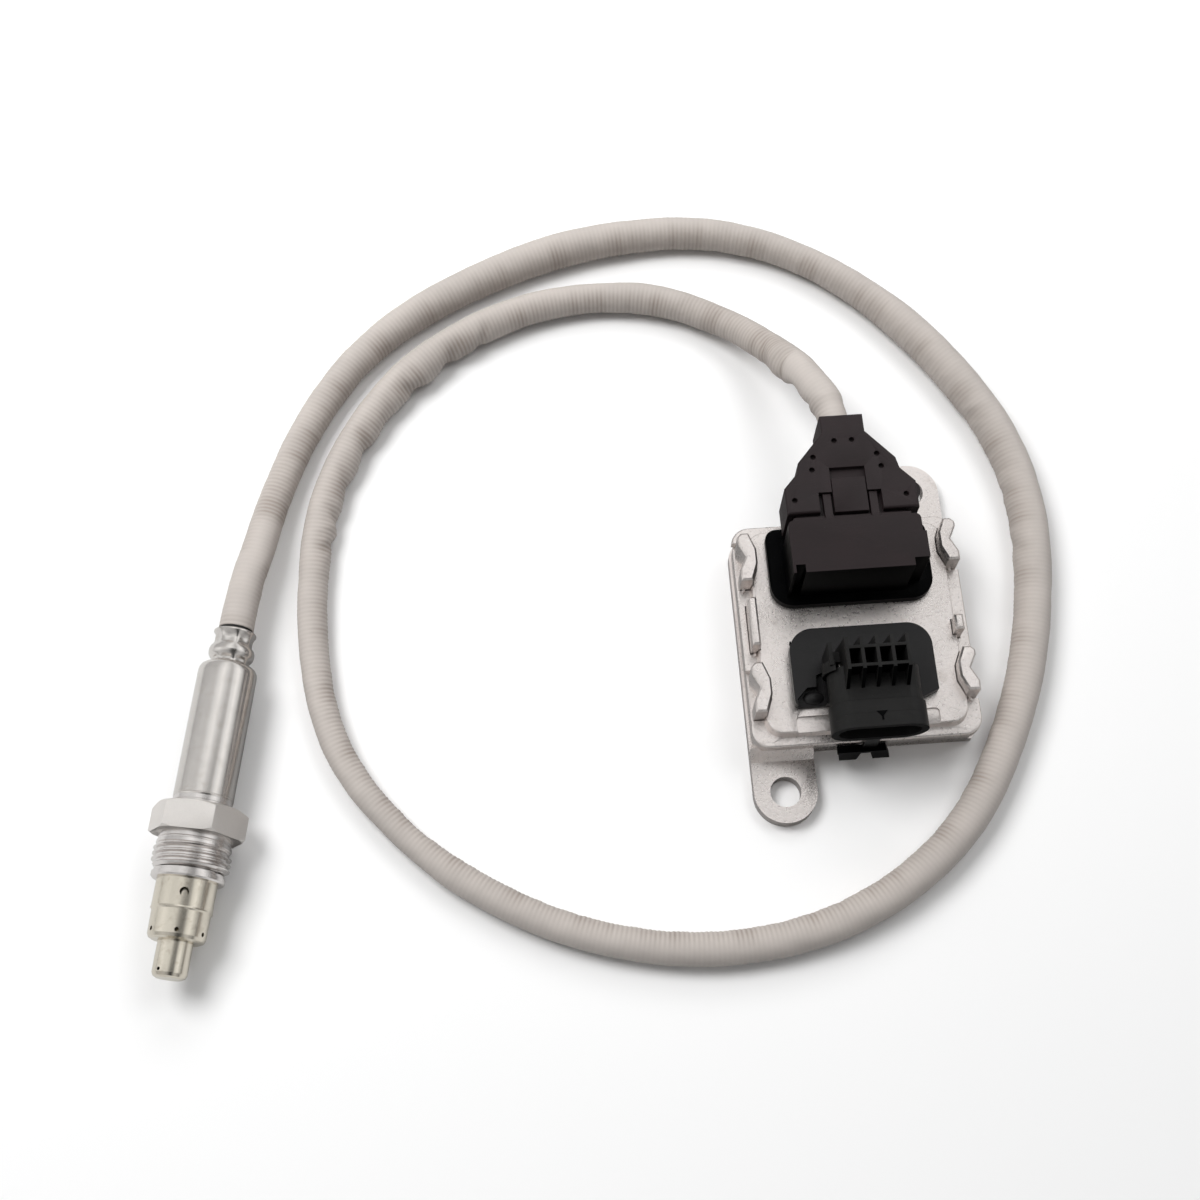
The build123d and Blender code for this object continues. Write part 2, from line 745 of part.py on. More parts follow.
# Vehicle connector header: pad, collar, rib grid and lock, moulded as one
with BuildPart() as vehicle_header:
    slab(
        vehicle_pad_width,
        vehicle_pad_length,
        vehicle_pad_small_corner,
        plateau_top,
        pad_top,
        at=(0, vehicle_pad_y),
    )
    with BuildSketch(Plane.XY.offset(plateau_top)) as corner_cut:
        with Locations((0, vehicle_pad_y)):
            Rectangle(vehicle_pad_width + 2, vehicle_pad_length + 2)
        with Locations((0, vehicle_pad_y - vehicle_pad_corner)):
            Rectangle(vehicle_pad_width, vehicle_pad_length, mode=Mode.SUBTRACT)
        with Locations((0, vehicle_pad_rear_y - vehicle_pad_corner)):
            RectangleRounded(
                vehicle_pad_width,
                2 * vehicle_pad_corner,
                vehicle_pad_corner - 0.01,
                mode=Mode.SUBTRACT,
            )
    extrude(corner_cut.sketch, amount=pad_thickness, mode=Mode.SUBTRACT)
    with BuildSketch(Plane.XY.offset(plateau_top)) as front_cut:
        with BuildLine():
            Polyline(
                (vehicle_pad_width / 2, vehicle_pad_front_y + vehicle_pad_cut_length),
                (vehicle_pad_width / 2, vehicle_pad_front_y),
                (vehicle_pad_width / 2 - vehicle_pad_cut_width, vehicle_pad_front_y),
                close=True,
            )
        make_face()
    extrude(front_cut.sketch, amount=pad_thickness, mode=Mode.SUBTRACT)
    with BuildSketch(Plane.XY.offset(pad_top)) as hollow:
        with BuildLine():
            hollow_corners = [(x, front_face_y + y) for x, y in hollow_outline]
            hollow_corners.append((hollow_outline[-1][0], front_face_y + hollow_outline[0][1]))
            Polyline(*hollow_corners, close=True)
        make_face()
    extrude(hollow.sketch, amount=-hollow_depth, mode=Mode.SUBTRACT)
    slab(
        vehicle_neck_width,
        vehicle_neck_length,
        1.0,
        neck_bottom,
        plateau_top,
        at=(vehicle_x, blade_leg_y),
    )
    extrude(collar_section(collar_rear_y, 0), amount=collar_rear_y - collar_mouth)
    extrude(collar_section(collar_mouth + collar_band, collar_band_step), amount=collar_band)
    extrude(hood_section(collar_rear_y + hood_reach, hood_step), amount=hood_reach + hood_wall)
    extrude(
        hood_section(collar_rear_y + hood_reach, hood_step - hood_wall),
        amount=hood_reach,
        mode=Mode.SUBTRACT,
    )
    block((rib_left, crossbar_front_y - rib_thickness, plateau_top), (rib_right, rib_rear_y, rib_top))
    pocket_width = blade_pitch - rib_thickness
    half_bar = crossbar_thickness / 2
    for left, right in zip(blade_columns, blade_columns[1:]):
        pocket_left = (left + right) / 2 - pocket_width / 2
        pocket_right = (left + right) / 2 + pocket_width / 2
        block(
            (pocket_left, crossbar_front_y - rib_thickness, collar_top),
            (pocket_right, crossbar_front_y - half_bar, rib_top),
            mode=Mode.SUBTRACT,
        )
        block(
            (pocket_left, crossbar_front_y + half_bar, rib_pocket_floor),
            (pocket_right, crossbar_rear_y - half_bar, rib_top),
            mode=Mode.SUBTRACT,
        )
        block(
            (pocket_left, crossbar_rear_y + half_bar, rib_pocket_floor),
            (pocket_right, rib_rear_y, rib_top),
            mode=Mode.SUBTRACT,
        )
    for column in blade_columns:
        rib_slope = [
            (crossbar_front_y - rib_thickness, rib_top),
            (crossbar_front_y - rib_thickness, collar_top - collar_wall / 2),
            (rib_front_y, collar_top - collar_wall / 2),
            (rib_front_y, collar_top),
        ]
        side_prism(column - rib_thickness / 2, rib_slope, rib_thickness)
        gusset = [
            (rib_rear_y, rib_top),
            (rib_rear_y + gusset_length, pad_top - pad_thickness / 2),
            (rib_rear_y, pad_top - pad_thickness / 2),
        ]
        side_prism(column - rib_thickness / 2, gusset, rib_thickness)
    block(
        (fin_x - fin_thickness / 2, front_face_y + fin_front, pad_top - pad_thickness / 2),
        (fin_x + fin_thickness / 2, front_face_y + fin_rear, collar_top),
    )
    block(
        (fin_x, front_face_y + web_front, pad_top - pad_thickness / 2),
        (rib_left + rib_thickness / 2, front_face_y + web_rear, collar_top - web_drop),
    )
    lock_y = front_face_y - lock_gap
    lock_foot = lock_top - lock_height
    for top_ends, foot_ends in ((lock_left_top, lock_left_bottom), (lock_right_top, lock_right_bottom)):
        wedge = [
            (vehicle_x + top_ends[0], lock_top),
            (vehicle_x + top_ends[1], lock_top),
            (vehicle_x + foot_ends[1], lock_foot),
            (vehicle_x + foot_ends[0], lock_foot),
        ]
        front_prism(lock_y, wedge, lock_depth)
    block(
        (vehicle_x + lock_left_top[0], lock_y - lock_depth, lock_top - lock_bar),
        (vehicle_x + lock_right_top[1], lock_y, lock_top),
    )
    block(
        (vehicle_x + bridge_left, lock_y - bridge_depth, lock_top - lock_bar),
        (vehicle_x + bridge_right, lock_y, collar_bottom + collar_wall),
    )
    extrude(
        collar_section(collar_mouth, -collar_wall),
        amount=-collar_depth,
        mode=Mode.SUBTRACT,
    )
    for column in blade_columns:
        add_pin(
            column,
            blade_tip_y,
            blade_leg_y,
            collar_middle,
            blade_thickness,
            blade_width,
            gap=contact_gap,
            mode=Mode.SUBTRACT,
        )
save(vehicle_header, "vehicle_header")

# Five blades, bent down to the board
with BuildPart() as vehicle_header_pins:
    for column in blade_columns:
        add_pin(
            column,
            blade_tip_y,
            blade_leg_y,
            collar_middle,
            blade_thickness,
            blade_width,
        )
save(vehicle_header_pins, "vehicle_header_pins")

# Cable header: pad and tall box, moulded as one
with BuildPart() as cable_header:
    slab(
        cable_pad_width,
        cable_pad_length,
        cable_pad_corner,
        plateau_top,
        pad_top,
        at=(0, cable_pad_y),
    )
    slab(
        cable_pad_width,
        cable_pad_length - cable_pad_corner,
        cable_pad_small_corner,
        plateau_top,
        pad_top,
        at=(0, cable_pad_y + cable_pad_corner / 2),
    )
    pad_edges = cable_header.faces().sort_by(Axis.Z)[-1].edges()
    chamfer(pad_edges, pad_edge)
    slab(
        cable_neck_width,
        box_front_wall,
        1.0,
        neck_bottom,
        plateau_top,
        at=(cable_x, box_front + box_front_wall / 2),
    )
    block(
        (cable_x - box_width / 2, box_front, pad_top - pad_thickness / 2),
        (cable_x + box_width / 2, box_rear, box_top),
    )
    tall_edges = cable_header.edges().filter_by(Axis.Z).filter_by(lambda edge: edge.length > box_height / 2)
    fillet(tall_edges.sort_by(Axis.Y)[-2:], box_corner)
    box_left = cable_x - box_width / 2
    box_right = cable_x + box_width / 2
    block(
        (box_left + box_ridge, box_front, pad_top),
        (box_left + box_notch_width, box_front + box_notch_depth, box_top),
        mode=Mode.SUBTRACT,
    )
    block(
        (box_right - box_notch_width, box_front, pad_top),
        (box_right, box_front + box_notch_depth, box_top),
        mode=Mode.SUBTRACT,
    )
    tab_front = box_front + box_notch_depth
    block(
        (cable_x + box_width / 2, tab_front, pad_top - pad_thickness / 2),
        (cable_x + box_width / 2 + box_tab_depth, tab_front + box_tab_length, box_top),
    )
    block(
        (cable_x - box_cavity_width / 2, box_cavity_front, box_floor),
        (cable_x + box_cavity_width / 2, box_rear, box_ceiling),
        mode=Mode.SUBTRACT,
    )
    for column in pin_columns:
        for leg_y, level in ((upper_leg_y, upper_row), (lower_leg_y, lower_row)):
            add_pin(
                column,
                cable_pin_tip,
                leg_y,
                level,
                cable_pin_size,
                cable_pin_size,
                gap=contact_gap,
                mode=Mode.SUBTRACT,
            )
save(cable_header, "cable_header")

# Two rows of square pins, bent down to the board
with BuildPart() as cable_header_pins:
    for column in pin_columns:
        for leg_y, level in ((upper_leg_y, upper_row), (lower_leg_y, lower_row)):
            add_pin(column, cable_pin_tip, leg_y, level, cable_pin_size, cable_pin_size)
save(cable_header_pins, "cable_header_pins")

# Plug body: it fills the box, carries the terminals and ends in the shells
terminal_rows = [(x, z) for x in pin_columns for z in (lower_row, upper_row)]
with BuildPart() as plug_body:
    block(
        (cable_x - plug_width / 2, plug_front, plug_bottom),
        (cable_x + plug_width / 2, plug_step_y, plug_top),
    )
    block(
        (cable_x - plug_rear_width / 2, plug_step_y, plug_rear_bottom),
        (cable_x + plug_rear_width / 2, plug_rear_y, plug_rear_top),
    )
    groove_low = plug_seal_y
    groove_high = plug_seal_y + plug_seal_width
    with BuildSketch(Plane.XZ.offset(-groove_high)) as groove:
        with Locations((cable_x, box_middle)):
            Rectangle(plug_width, plug_top - plug_bottom)
            Rectangle(
                plug_width - 2 * plug_seal_depth,
                plug_top - plug_bottom - 2 * plug_seal_depth,
                mode=Mode.SUBTRACT,
            )
    extrude(groove.sketch, amount=groove_high - groove_low, mode=Mode.SUBTRACT)
    for side in (-1, 1):
        arm_middle = cable_x + side * arm_spread / 2
        block(
            (arm_middle - arm_width / 2, arm_front, plug_top),
            (arm_middle + arm_width / 2, plug_step_y, shell_top - tongue_drop),
        )
        block(
            (arm_middle - arm_width / 2, plug_step_y, plug_rear_top),
            (arm_middle + arm_width / 2, shell_notch_rear - slide_gap, plug_rear_top + arm_height),
        )
    block(
        (cable_x - tongue_width / 2, tongue_front, plug_rear_top),
        (cable_x + tongue_width / 2, plug_rear_y - 1.0, shell_top - tongue_drop),
    )
    tongue_top = shell_top - tongue_drop
    block(
        (cable_x - tongue_width / 2, plug_rear_y - 1.0, tongue_top - tongue_thickness),
        (cable_x + tongue_width / 2, tongue_rear, tongue_top),
    )
    with BuildSketch(Plane.XZ.offset(-plug_rear_y)) as seal_recess:
        with Locations((cable_x, box_middle)):
            RectangleRounded(
                plug_rear_width - 2 * wire_seal_inset,
                plug_rear_height - 2 * wire_seal_inset,
                1.0,
            )
    extrude(seal_recess.sketch, amount=wire_seal_thickness, mode=Mode.SUBTRACT)
    with BuildSketch(Plane.XZ.offset(-plug_rear_y)) as cells:
        with Locations(terminal_rows):
            Rectangle(terminal_size + 2 * terminal_cell_gap, terminal_size + 2 * terminal_cell_gap)
    extrude(cells.sketch, amount=plug_rear_y - plug_front, mode=Mode.SUBTRACT)
save(plug_body, "plug_body")

# Seal that squeezes between the plug and its box
with BuildPart() as plug_seal:
    with BuildSketch(Plane.XZ.offset(-(groove_high - slide_gap))) as seal_outline:
        with Locations((cable_x, box_middle)):
            RectangleRounded(box_cavity_width - 0.1, box_ceiling - box_floor - 0.1, 0.6)
            Rectangle(
                plug_width - 2 * plug_seal_depth + 0.1,
                plug_top - plug_bottom - 2 * plug_seal_depth + 0.1,
                mode=Mode.SUBTRACT,
            )
    extrude(seal_outline.sketch, amount=plug_seal_width - 2 * slide_gap)
save(plug_seal, "plug_seal")

# Eight square terminals, each open in front for its pin
with BuildPart() as plug_terminals:
    with BuildSketch(Plane.XZ.offset(-terminal_rear)) as sockets:
        with Locations(terminal_rows):
            Rectangle(terminal_size, terminal_size)
    extrude(sockets.sketch, amount=terminal_length)
    with BuildSketch(Plane.XZ.offset(-(cable_pin_tip + 1.0))) as mouths:
        with Locations(terminal_rows):
            Rectangle(cable_pin_size + 4 * contact_gap, cable_pin_size + 4 * contact_gap)
    extrude(mouths.sketch, amount=terminal_length, mode=Mode.SUBTRACT)
save(plug_terminals, "plug_terminals")

# Rubber mat that seals the wires behind the plug
with BuildPart() as wire_seal:
    with BuildSketch(Plane.XZ.offset(-plug_rear_y)) as mat:
        with Locations((cable_x, box_middle)):
            RectangleRounded(
                plug_rear_width - 2 * wire_seal_inset - 0.1,
                plug_rear_height - 2 * wire_seal_inset - 0.1,
                1.0,
            )
        with Locations(terminal_rows):
            Circle(wire_radius + contact_gap, mode=Mode.SUBTRACT)
    extrude(mat.sketch, amount=wire_seal_thickness)
save(wire_seal, "wire_seal")


# Plan of the wire cover, grown or shrunk
def shell_plan(height, change):
    with BuildSketch(Plane.XY.offset(height)) as plan:
        with Locations((cable_x, 0)):
            with BuildLine():
                Polyline(
                    (0, shell_front),
                    (shell_half_width, shell_front),
                    (shell_half_width, shell_shoulder_y),
                    (shell_waist_half, shell_waist_y),
                    (shell_waist_top_half, shell_waist_top_y),
                    (shell_neck_half, shell_neck_y),
                    (shell_neck_half, shell_rear),
                    (0, shell_rear),
                )
                mirror(about=Plane.YZ)
            make_face()
        if change:
            offset(amount=change, kind=Kind.INTERSECTION)
    return plan.sketch


# Space for the wires inside the shells, with the seat for the plug and the hose
def hollow_shell(bottom, top):
    room = shell_plan(bottom, -shell_wall)
    with BuildSketch(Plane.XY.offset(bottom)) as rear_only:
        with Locations((cable_x, (plug_rear_y + hose_start) / 2)):
            Rectangle(2 * shell_half_width, hose_start - plug_rear_y)
    wire_room = room & rear_only.sketch
    extrude(wire_room, amount=top - bottom, mode=Mode.SUBTRACT)
    block(
        (cable_x - plug_rear_width / 2 - slide_gap, shell_front, plug_rear_bottom - slide_gap),
        (cable_x + plug_rear_width / 2 + slide_gap, plug_rear_y + slide_gap, plug_rear_top + slide_gap),
        mode=Mode.SUBTRACT,
    )
    with BuildSketch(Plane.XZ.offset(-shell_rear)) as hose_bore:
        with Locations((cable_x, parting)):
            Circle(hose_radius + hose_gap)
    extrude(hose_bore.sketch, amount=shell_rear - hose_start, mode=Mode.SUBTRACT)


with BuildPart() as wire_cover_top:
    extrude(shell_plan(parting, 0), amount=shell_top - parting)
    top_edges = wire_cover_top.faces().sort_by(Axis.Z)[-1].edges()
    fillet(top_edges, shell_edge)
    hollow_shell(parting, shell_top - shell_roof)
    notch_floor = plug_rear_top - 2.0
    block(
        (cable_x - shell_notch_width / 2, shell_front, notch_floor),
        (cable_x + shell_notch_width / 2, shell_notch_rear, shell_top),
        mode=Mode.SUBTRACT,
    )
    block(
        (cable_x - tongue_width / 2 - slide_gap, shell_notch_rear, tongue_top - tongue_thickness - slide_gap),
        (cable_x + tongue_width / 2 + slide_gap, tongue_slot_rear, shell_top),
        mode=Mode.SUBTRACT,
    )
    vents = [(cable_x + side * x, y) for x, y in vent_places for side in (-1, 1)]
    with BuildSketch(Plane.XY.offset(shell_top)) as vent_holes:
        with Locations(vents):
            Circle(vent_radius)
    extrude(vent_holes.sketch, amount=-vent_depth, mode=Mode.SUBTRACT)
save(wire_cover_top, "wire_cover_top")

with BuildPart() as wire_cover_bottom:
    extrude(shell_plan(shell_bottom, 0), amount=parting - shell_bottom)
    bottom_edges = wire_cover_bottom.faces().sort_by(Axis.Z)[0].edges()
    fillet(bottom_edges, shell_edge)
    with BuildSketch(Plane.XY.offset(parting - lobe_height)) as lobe:
        with Locations((cable_x + shell_half_width, shell_shoulder_y + 0.6)):
            Circle(lobe_radius)
    extrude(lobe.sketch, amount=lobe_height)
    hollow_shell(shell_bottom + shell_roof, parting)
save(wire_cover_bottom, "wire_cover_bottom")

# Eight wires, from the terminals to the hose
with BuildPart() as plug_wires:
    for index, (x, z) in enumerate(terminal_rows):
        column = index // 2
        share = (column + 0.5) / cable_columns
        angle = math.radians(180 - 180 * share) * (1 if z > box_middle else -1)
        end_x = cable_x + wire_bundle_radius * math.cos(angle)
        end_z = parting + wire_bundle_radius * math.sin(angle)
        with BuildLine() as wire_path:
            FilletPolyline(
                (x, terminal_rear, z),
                (x, wire_straight, z),
                (end_x, wire_gather, end_z),
                (end_x, hose_start, end_z),
                radius=wire_bend,
            )
        with BuildSketch(Plane(origin=(x, terminal_rear, z), z_dir=(0, 1, 0))) as wire_section:
            Circle(wire_radius)
        sweep(wire_section.sketch, path=wire_path.wire())
save(plug_wires, "plug_wires")

# Probe frame: Z runs along the axis from the sleeve's mouth to the tip
heading = math.radians(probe_heading)
probe_direction = Vector(math.cos(heading), math.sin(heading), 0)
probe_mouth = Vector(probe_x, probe_y, axis_height)
probe_axis = Axis(tuple(probe_mouth), tuple(probe_direction))
probe_side = Plane(
    origin=probe_mouth,
    x_dir=probe_direction,
    z_dir=probe_direction.cross(Vector(0, 0, 1)),
)


# Plane across the probe's axis at a station, with its X level and its Y up
def probe_plane(station):
    origin = probe_mouth + probe_direction * station
    return Plane(origin=origin, x_dir=Vector(0, 0, 1).cross(probe_direction), z_dir=probe_direction)


# A turned solid from a closed outline of stations and radii
def turned(outline, mode=Mode.ADD):
    with BuildSketch(probe_side) as half:
        with BuildLine():
            Polyline(*outline, close=True)
        make_face()
    revolve(half.sketch, axis=probe_axis, mode=mode)


# A plain ring or rod between two stations
def ring(start, end, outer, inner=0, mode=Mode.ADD):
    with BuildSketch(probe_plane(start)) as section:
        Circle(outer)
        if inner:
            Circle(inner, mode=Mode.SUBTRACT)
    extrude(section.sketch, amount=end - start, mode=mode)


# A row of round holes drilled in towards the axis
def drill_round(station, radius, count, first, outer, depth):
    for index in range(count):
        angle = math.radians(90 + first + index * 360 / count)
        plane = probe_plane(station)
        outward = plane.x_dir * math.cos(angle) + plane.y_dir * math.sin(angle)
        start = plane.origin + outward * (outer + 1.0)
        with BuildSketch(Plane(origin=start, z_dir=-outward)) as hole:
            Circle(radius)
        extrude(hole.sketch, amount=depth + 1.0, mode=Mode.SUBTRACT)


# Outer sleeve: crimped neck, rounded shoulder and long tube, drawn from one piece
def sleeve_half(inset, first, last):
    with BuildSketch(probe_side) as half:
        with BuildLine():
            neck = crimp_neck_radius - inset
            bulge = crimp_bulge_radius - inset
            mouth = crimp_mouth_radius - inset
            body = sleeve_radius - inset
            Line((first, 0), (first, mouth))
            Spline((first, mouth), (crimp_first, neck), tangents=[(1, -0.4), (1, 0)])
            Spline(
                (crimp_first, neck),
                (crimp_bulge, bulge),
                (crimp_last, neck),
                tangents=[(1, 0), (1, -0.2)],
            )
            Line((crimp_last, neck), (shoulder_start + inset, neck + 0.6))
            Spline(
                (shoulder_start + inset, neck + 0.6),
                (shoulder_start + inset + 2.3, body),
                tangents=[(0.2, 1), (1, 0)],
            )
            Line((shoulder_start + inset + 2.3, body), (last, body))
            Line((last, body), (last, 0))
            Line((last, 0), (first, 0))
        make_face()
    return half.sketch


with BuildPart() as outer_sleeve:
    revolve(sleeve_half(0, 0, sleeve_end), axis=probe_axis)
    revolve(sleeve_half(sleeve_wall, 0, sleeve_end), axis=probe_axis, mode=Mode.SUBTRACT)
save(outer_sleeve, "outer_sleeve")

# Rubber grommet, squeezed in the crimped neck round the wires
wire_angles = [math.radians(22.5 + 45 * i) for i in range(8)]
wire_spots = [(wire_bundle_radius * math.cos(a), wire_bundle_radius * math.sin(a)) for a in wire_angles]
with BuildPart() as grommet:
    grommet_radius = crimp_neck_radius - sleeve_wall - grommet_gap
    ring(-grommet_out, grommet_length - grommet_out, grommet_radius)
    with BuildSketch(probe_plane(-grommet_out)) as wire_holes:
        with Locations(wire_spots):
            Circle(wire_radius + contact_gap)
    extrude(wire_holes.sketch, amount=grommet_length, mode=Mode.SUBTRACT)
save(grommet, "grommet")

# Probe wires, from the hose to the contact holder
with BuildPart() as probe_wires:
    with BuildSketch(probe_plane(-grommet_out)) as wire_ends:
        with Locations(wire_spots):
            Circle(wire_radius)
    extrude(wire_ends.sketch, amount=holder_start + grommet_out)
save(probe_wires, "probe_wires")

# Probe body: rear spigot in the sleeve, weld ring, shank, sealing collar and front spigot
with BuildPart() as probe_body:
    weld_ring_end = sleeve_end + weld_ring_length
    spigot_rear_radius = sleeve_radius - sleeve_wall - contact_gap
    turned([
        (body_rear, 0),
        (body_rear, spigot_rear_radius - 0.5),
        (body_rear + 0.5, spigot_rear_radius),
        (sleeve_end, spigot_rear_radius),
        (sleeve_end, sleeve_radius - weld_ring_drop),
        (weld_ring_end, sleeve_radius - weld_ring_drop),
        (weld_ring_end, shank_radius),
        (collar_ring_start, shank_radius),
        (collar_ring_start, collar_ring_radius - collar_ring_step),
        (collar_ring_start + collar_ring_step_length, collar_ring_radius - collar_ring_step),
        (collar_ring_start + collar_ring_step_length, collar_ring_radius),
        (collar_ring_end - 0.4, collar_ring_radius),
        (collar_ring_end, collar_ring_radius - 0.4),
        (collar_ring_end, spigot_radius - contact_gap),
        (collar_ring_end + body_spigot, spigot_radius - contact_gap),
        (collar_ring_end + body_spigot, 0),
    ])
    ring(body_rear, body_seat, body_bore, mode=Mode.SUBTRACT)
    ring(body_seat, collar_ring_end + body_spigot, body_seat_bore, mode=Mode.SUBTRACT)
save(probe_body, "probe_body")

# Union nut: hexagon, neck and thread in one piece, free to spin on the shank
with BuildPart() as union_nut:
    hex_corner = hex_flats / math.sqrt(3)
    with BuildSketch(probe_plane(hex_start)) as hexagon:
        RegularPolygon(radius=hex_corner, side_count=6)
    extrude(hexagon.sketch, amount=hex_height)
    cone_slope = math.tan(math.radians(60))
    beyond = hex_corner + 2.0
    for face, inward, face_radius in ((hex_start, 1, hex_rear_circle), (hex_end, -1, hex_front_circle)):
        turned(
            [
                (face - inward, face_radius - cone_slope),
                (face - inward, beyond),
                (face + inward * (beyond - face_radius) / cone_slope, beyond),
            ],
            mode=Mode.SUBTRACT,
        )
    turned([
        (hex_end, 0),
        (hex_end, nut_neck_radius),
        (thread_start, nut_neck_radius),
        (thread_start + 0.3, thread_radius),
        (nut_end - thread_chamfer, thread_radius),
        (nut_end, thread_radius - thread_chamfer),
        (nut_end, 0),
    ])
    ring(hex_start, nut_end, nut_bore_radius, mode=Mode.SUBTRACT)
save(union_nut, "union_nut")

# Outer protection tube with its gas holes
with BuildPart() as outer_protection_tube:
    lower = outer_tube_lower_radius
    turned([
        (collar_ring_end, spigot_radius + inner_tube_wall + contact_gap),
        (collar_ring_end, outer_tube_radius),
        (outer_tube_step, outer_tube_radius),
        (outer_tube_step + 0.4, outer_tube_radius + 0.15),
        (outer_tube_step + 0.8, lower + 0.1),
        (outer_tube_end - outer_tube_round, lower),
        (outer_tube_end - outer_tube_round / 3, lower - outer_tube_round / 3),
        (outer_tube_end, lower - outer_tube_round),
        (outer_tube_end, tip_radius + contact_gap),
        (outer_tube_end - outer_tube_wall, tip_radius + contact_gap),
        (outer_tube_end - outer_tube_wall, lower - outer_tube_round),
        (outer_tube_end - outer_tube_round, lower - outer_tube_wall),
        (outer_tube_step + 0.6, lower - outer_tube_wall),
        (outer_tube_step, outer_tube_radius - outer_tube_wall),
        (collar_ring_end + 1.0, outer_tube_radius - outer_tube_wall),
        (collar_ring_end + 1.0, spigot_radius + inner_tube_wall + contact_gap),
    ])
    drill_round(gas_hole_station, gas_hole_radius, gas_hole_count, gas_hole_turn, outer_tube_radius, 1.2)
    drill_round(small_hole_station, small_hole_radius, small_hole_count, small_hole_turn, lower, 1.2)
save(outer_protection_tube, "outer_protection_tube")

# Inner protection tube: it comes out through the outer one as the narrow tip
with BuildPart() as inner_protection_tube:
    wall = inner_tube_wall
    turned([
        (collar_ring_end, spigot_radius),
        (collar_ring_end, inner_tube_radius),
        (inner_tube_cone, inner_tube_radius),
        (inner_tube_cone + 2.2, tip_radius),
        (tip_end - tip_round, tip_radius),
        (tip_end - tip_round / 3, tip_radius - tip_round / 3),
        (tip_end, tip_radius - tip_round),
        (tip_end, 0),
        (tip_end - wall, 0),
        (tip_end - wall, tip_radius - tip_round),
        (tip_end - tip_round, tip_radius - wall),
        (inner_tube_cone + 2.2, tip_radius - wall),
        (inner_tube_cone, spigot_radius),
    ])
    drill_round(tip_hole_station, tip_hole_radius, 1, tip_hole_turn, tip_radius, 1.2)
save(inner_protection_tube, "inner_protection_tube")

# Flat ceramic sensing element
with BuildPart() as sensing_element:
    with BuildSketch(probe_plane(element_start)) as bar:
        Rectangle(element_width, element_thickness)
    extrude(bar.sketch, amount=element_length)
save(sensing_element, "sensing_element")


# A round insulator with a slot for the element
def insulator(start, end, radius):
    ring(start, end, radius)
    with BuildSketch(probe_plane(start)) as slot:
        Rectangle(element_width + 2 * element_gap, element_thickness + 2 * element_gap)
    extrude(slot.sketch, amount=end - start, mode=Mode.SUBTRACT)


with BuildPart() as upper_insulator:
    insulator(body_rear, powder_start, body_bore - contact_gap)
save(upper_insulator, "upper_insulator")

with BuildPart() as powder_ring:
    insulator(powder_start, powder_end, body_bore - contact_gap)
save(powder_ring, "powder_ring")

with BuildPart() as lower_insulator:
    insulator(powder_end, body_seat, body_bore - contact_gap)
save(lower_insulator, "lower_insulator")

# Contact holder round the element's rear end, with a room for the springs
spring_room = element_thickness / 2 + spring_thickness + 0.2
with BuildPart() as contact_holder:
    ring(holder_start, holder_start + holder_length, sleeve_radius - sleeve_wall - holder_gap)
    with BuildSketch(probe_plane(holder_start + 1.0)) as room:
        Rectangle(element_width + 1.2, 2 * spring_room)
    extrude(room.sketch, amount=holder_length - 1.0, mode=Mode.SUBTRACT)
save(contact_holder, "contact_holder")

# Contact springs on both faces of the element
with BuildPart() as contact_springs:
    with BuildSketch(probe_plane(element_start)) as leaves:
        for side in (-1, 1):
            with Locations((0, side * (element_thickness / 2 + spring_thickness / 2 + 0.02))):
                with GridLocations(spring_pitch, 1, spring_count, 1):
                    Rectangle(spring_width, spring_thickness)
    extrude(leaves.sketch, amount=holder_length - 2.5)
save(contact_springs, "contact_springs")

# Hose: straight runs joined by arcs, from the shells, round on the floor, to the grommet
hose_end = probe_mouth - probe_direction * grommet_out
hose_last = probe_mouth - probe_direction * (grommet_out + hose_run_in)
hose_points = [
    (cable_x, hose_start, parting),
    (cable_x, 61.5, parting),
    (-3.0, 75.5, 23.2),
    (-8.5, 88.0, 13.2),
    (-24.0, 104.5, 5.0),
    (-48.5, 114.0, 4.6),
    (-84.5, 110.0, 4.6),
    (-117.5, 89.5, 4.6),
    (-140.5, 57.5, 4.6),
    (-146.5, 20.0, 4.6),
    (-142.5, -19.5, 4.6),
    (-119.0, -50.0, 4.6),
    (-87.0, -72.0, 4.6),
    (-50.5, -82.0, 4.6),
    (-11.0, -80.0, 4.6),
    (21.5, -59.0, 4.6),
    (42.5, -26.0, 4.6),
    (53.5, 10.5, 4.6),
    (55.0, 49.0, 4.6),
    (39.0, 84.5, 4.6),
    (12.0, 112.0, 4.6),
    (-21.0, 132.5, 4.6),
    (-60.0, 133.0, 4.6),
    (-96.5, 121.0, 4.6),
    (-128.5, 102.5, 4.6),
    (-147.0, 76.5, 4.6),
    (-155.5, 52.5, 5.6),
    (-160.8, 38.0, 8.6),
    tuple(hose_last),
    tuple(hose_end),
]
hose_vectors = [Vector(*point) for point in hose_points]
hose_radii = []
for before, at, after in zip(hose_vectors, hose_vectors[1:], hose_vectors[2:]):
    turn = math.radians((at - before).get_angle(after - at))
    shorter = min((at - before).length, (after - at).length)
    hose_radii.append(0.45 * shorter / math.tan(turn / 2))
with BuildPart() as hose:
    with BuildLine() as hose_path:
        FilletPolyline(*hose_points, radius=hose_radii)
    with BuildSketch(Plane(origin=hose_points[0], z_dir=(0, 1, 0))) as hose_section:
        Circle(hose_radius)
    sweep(hose_section.sketch, path=hose_path.wire())
save(hose, "hose")
hose_length = hose_path.wire().length
print("hose radii", [round(radius, 1) for radius in hose_radii])
print("hose length", round(hose_length, 1))
print("hose volume ratio", round(hose.part.volume / (math.pi * hose_radius**2 * hose_length), 4))
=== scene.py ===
import math

import bpy
from mathutils import Matrix, Vector


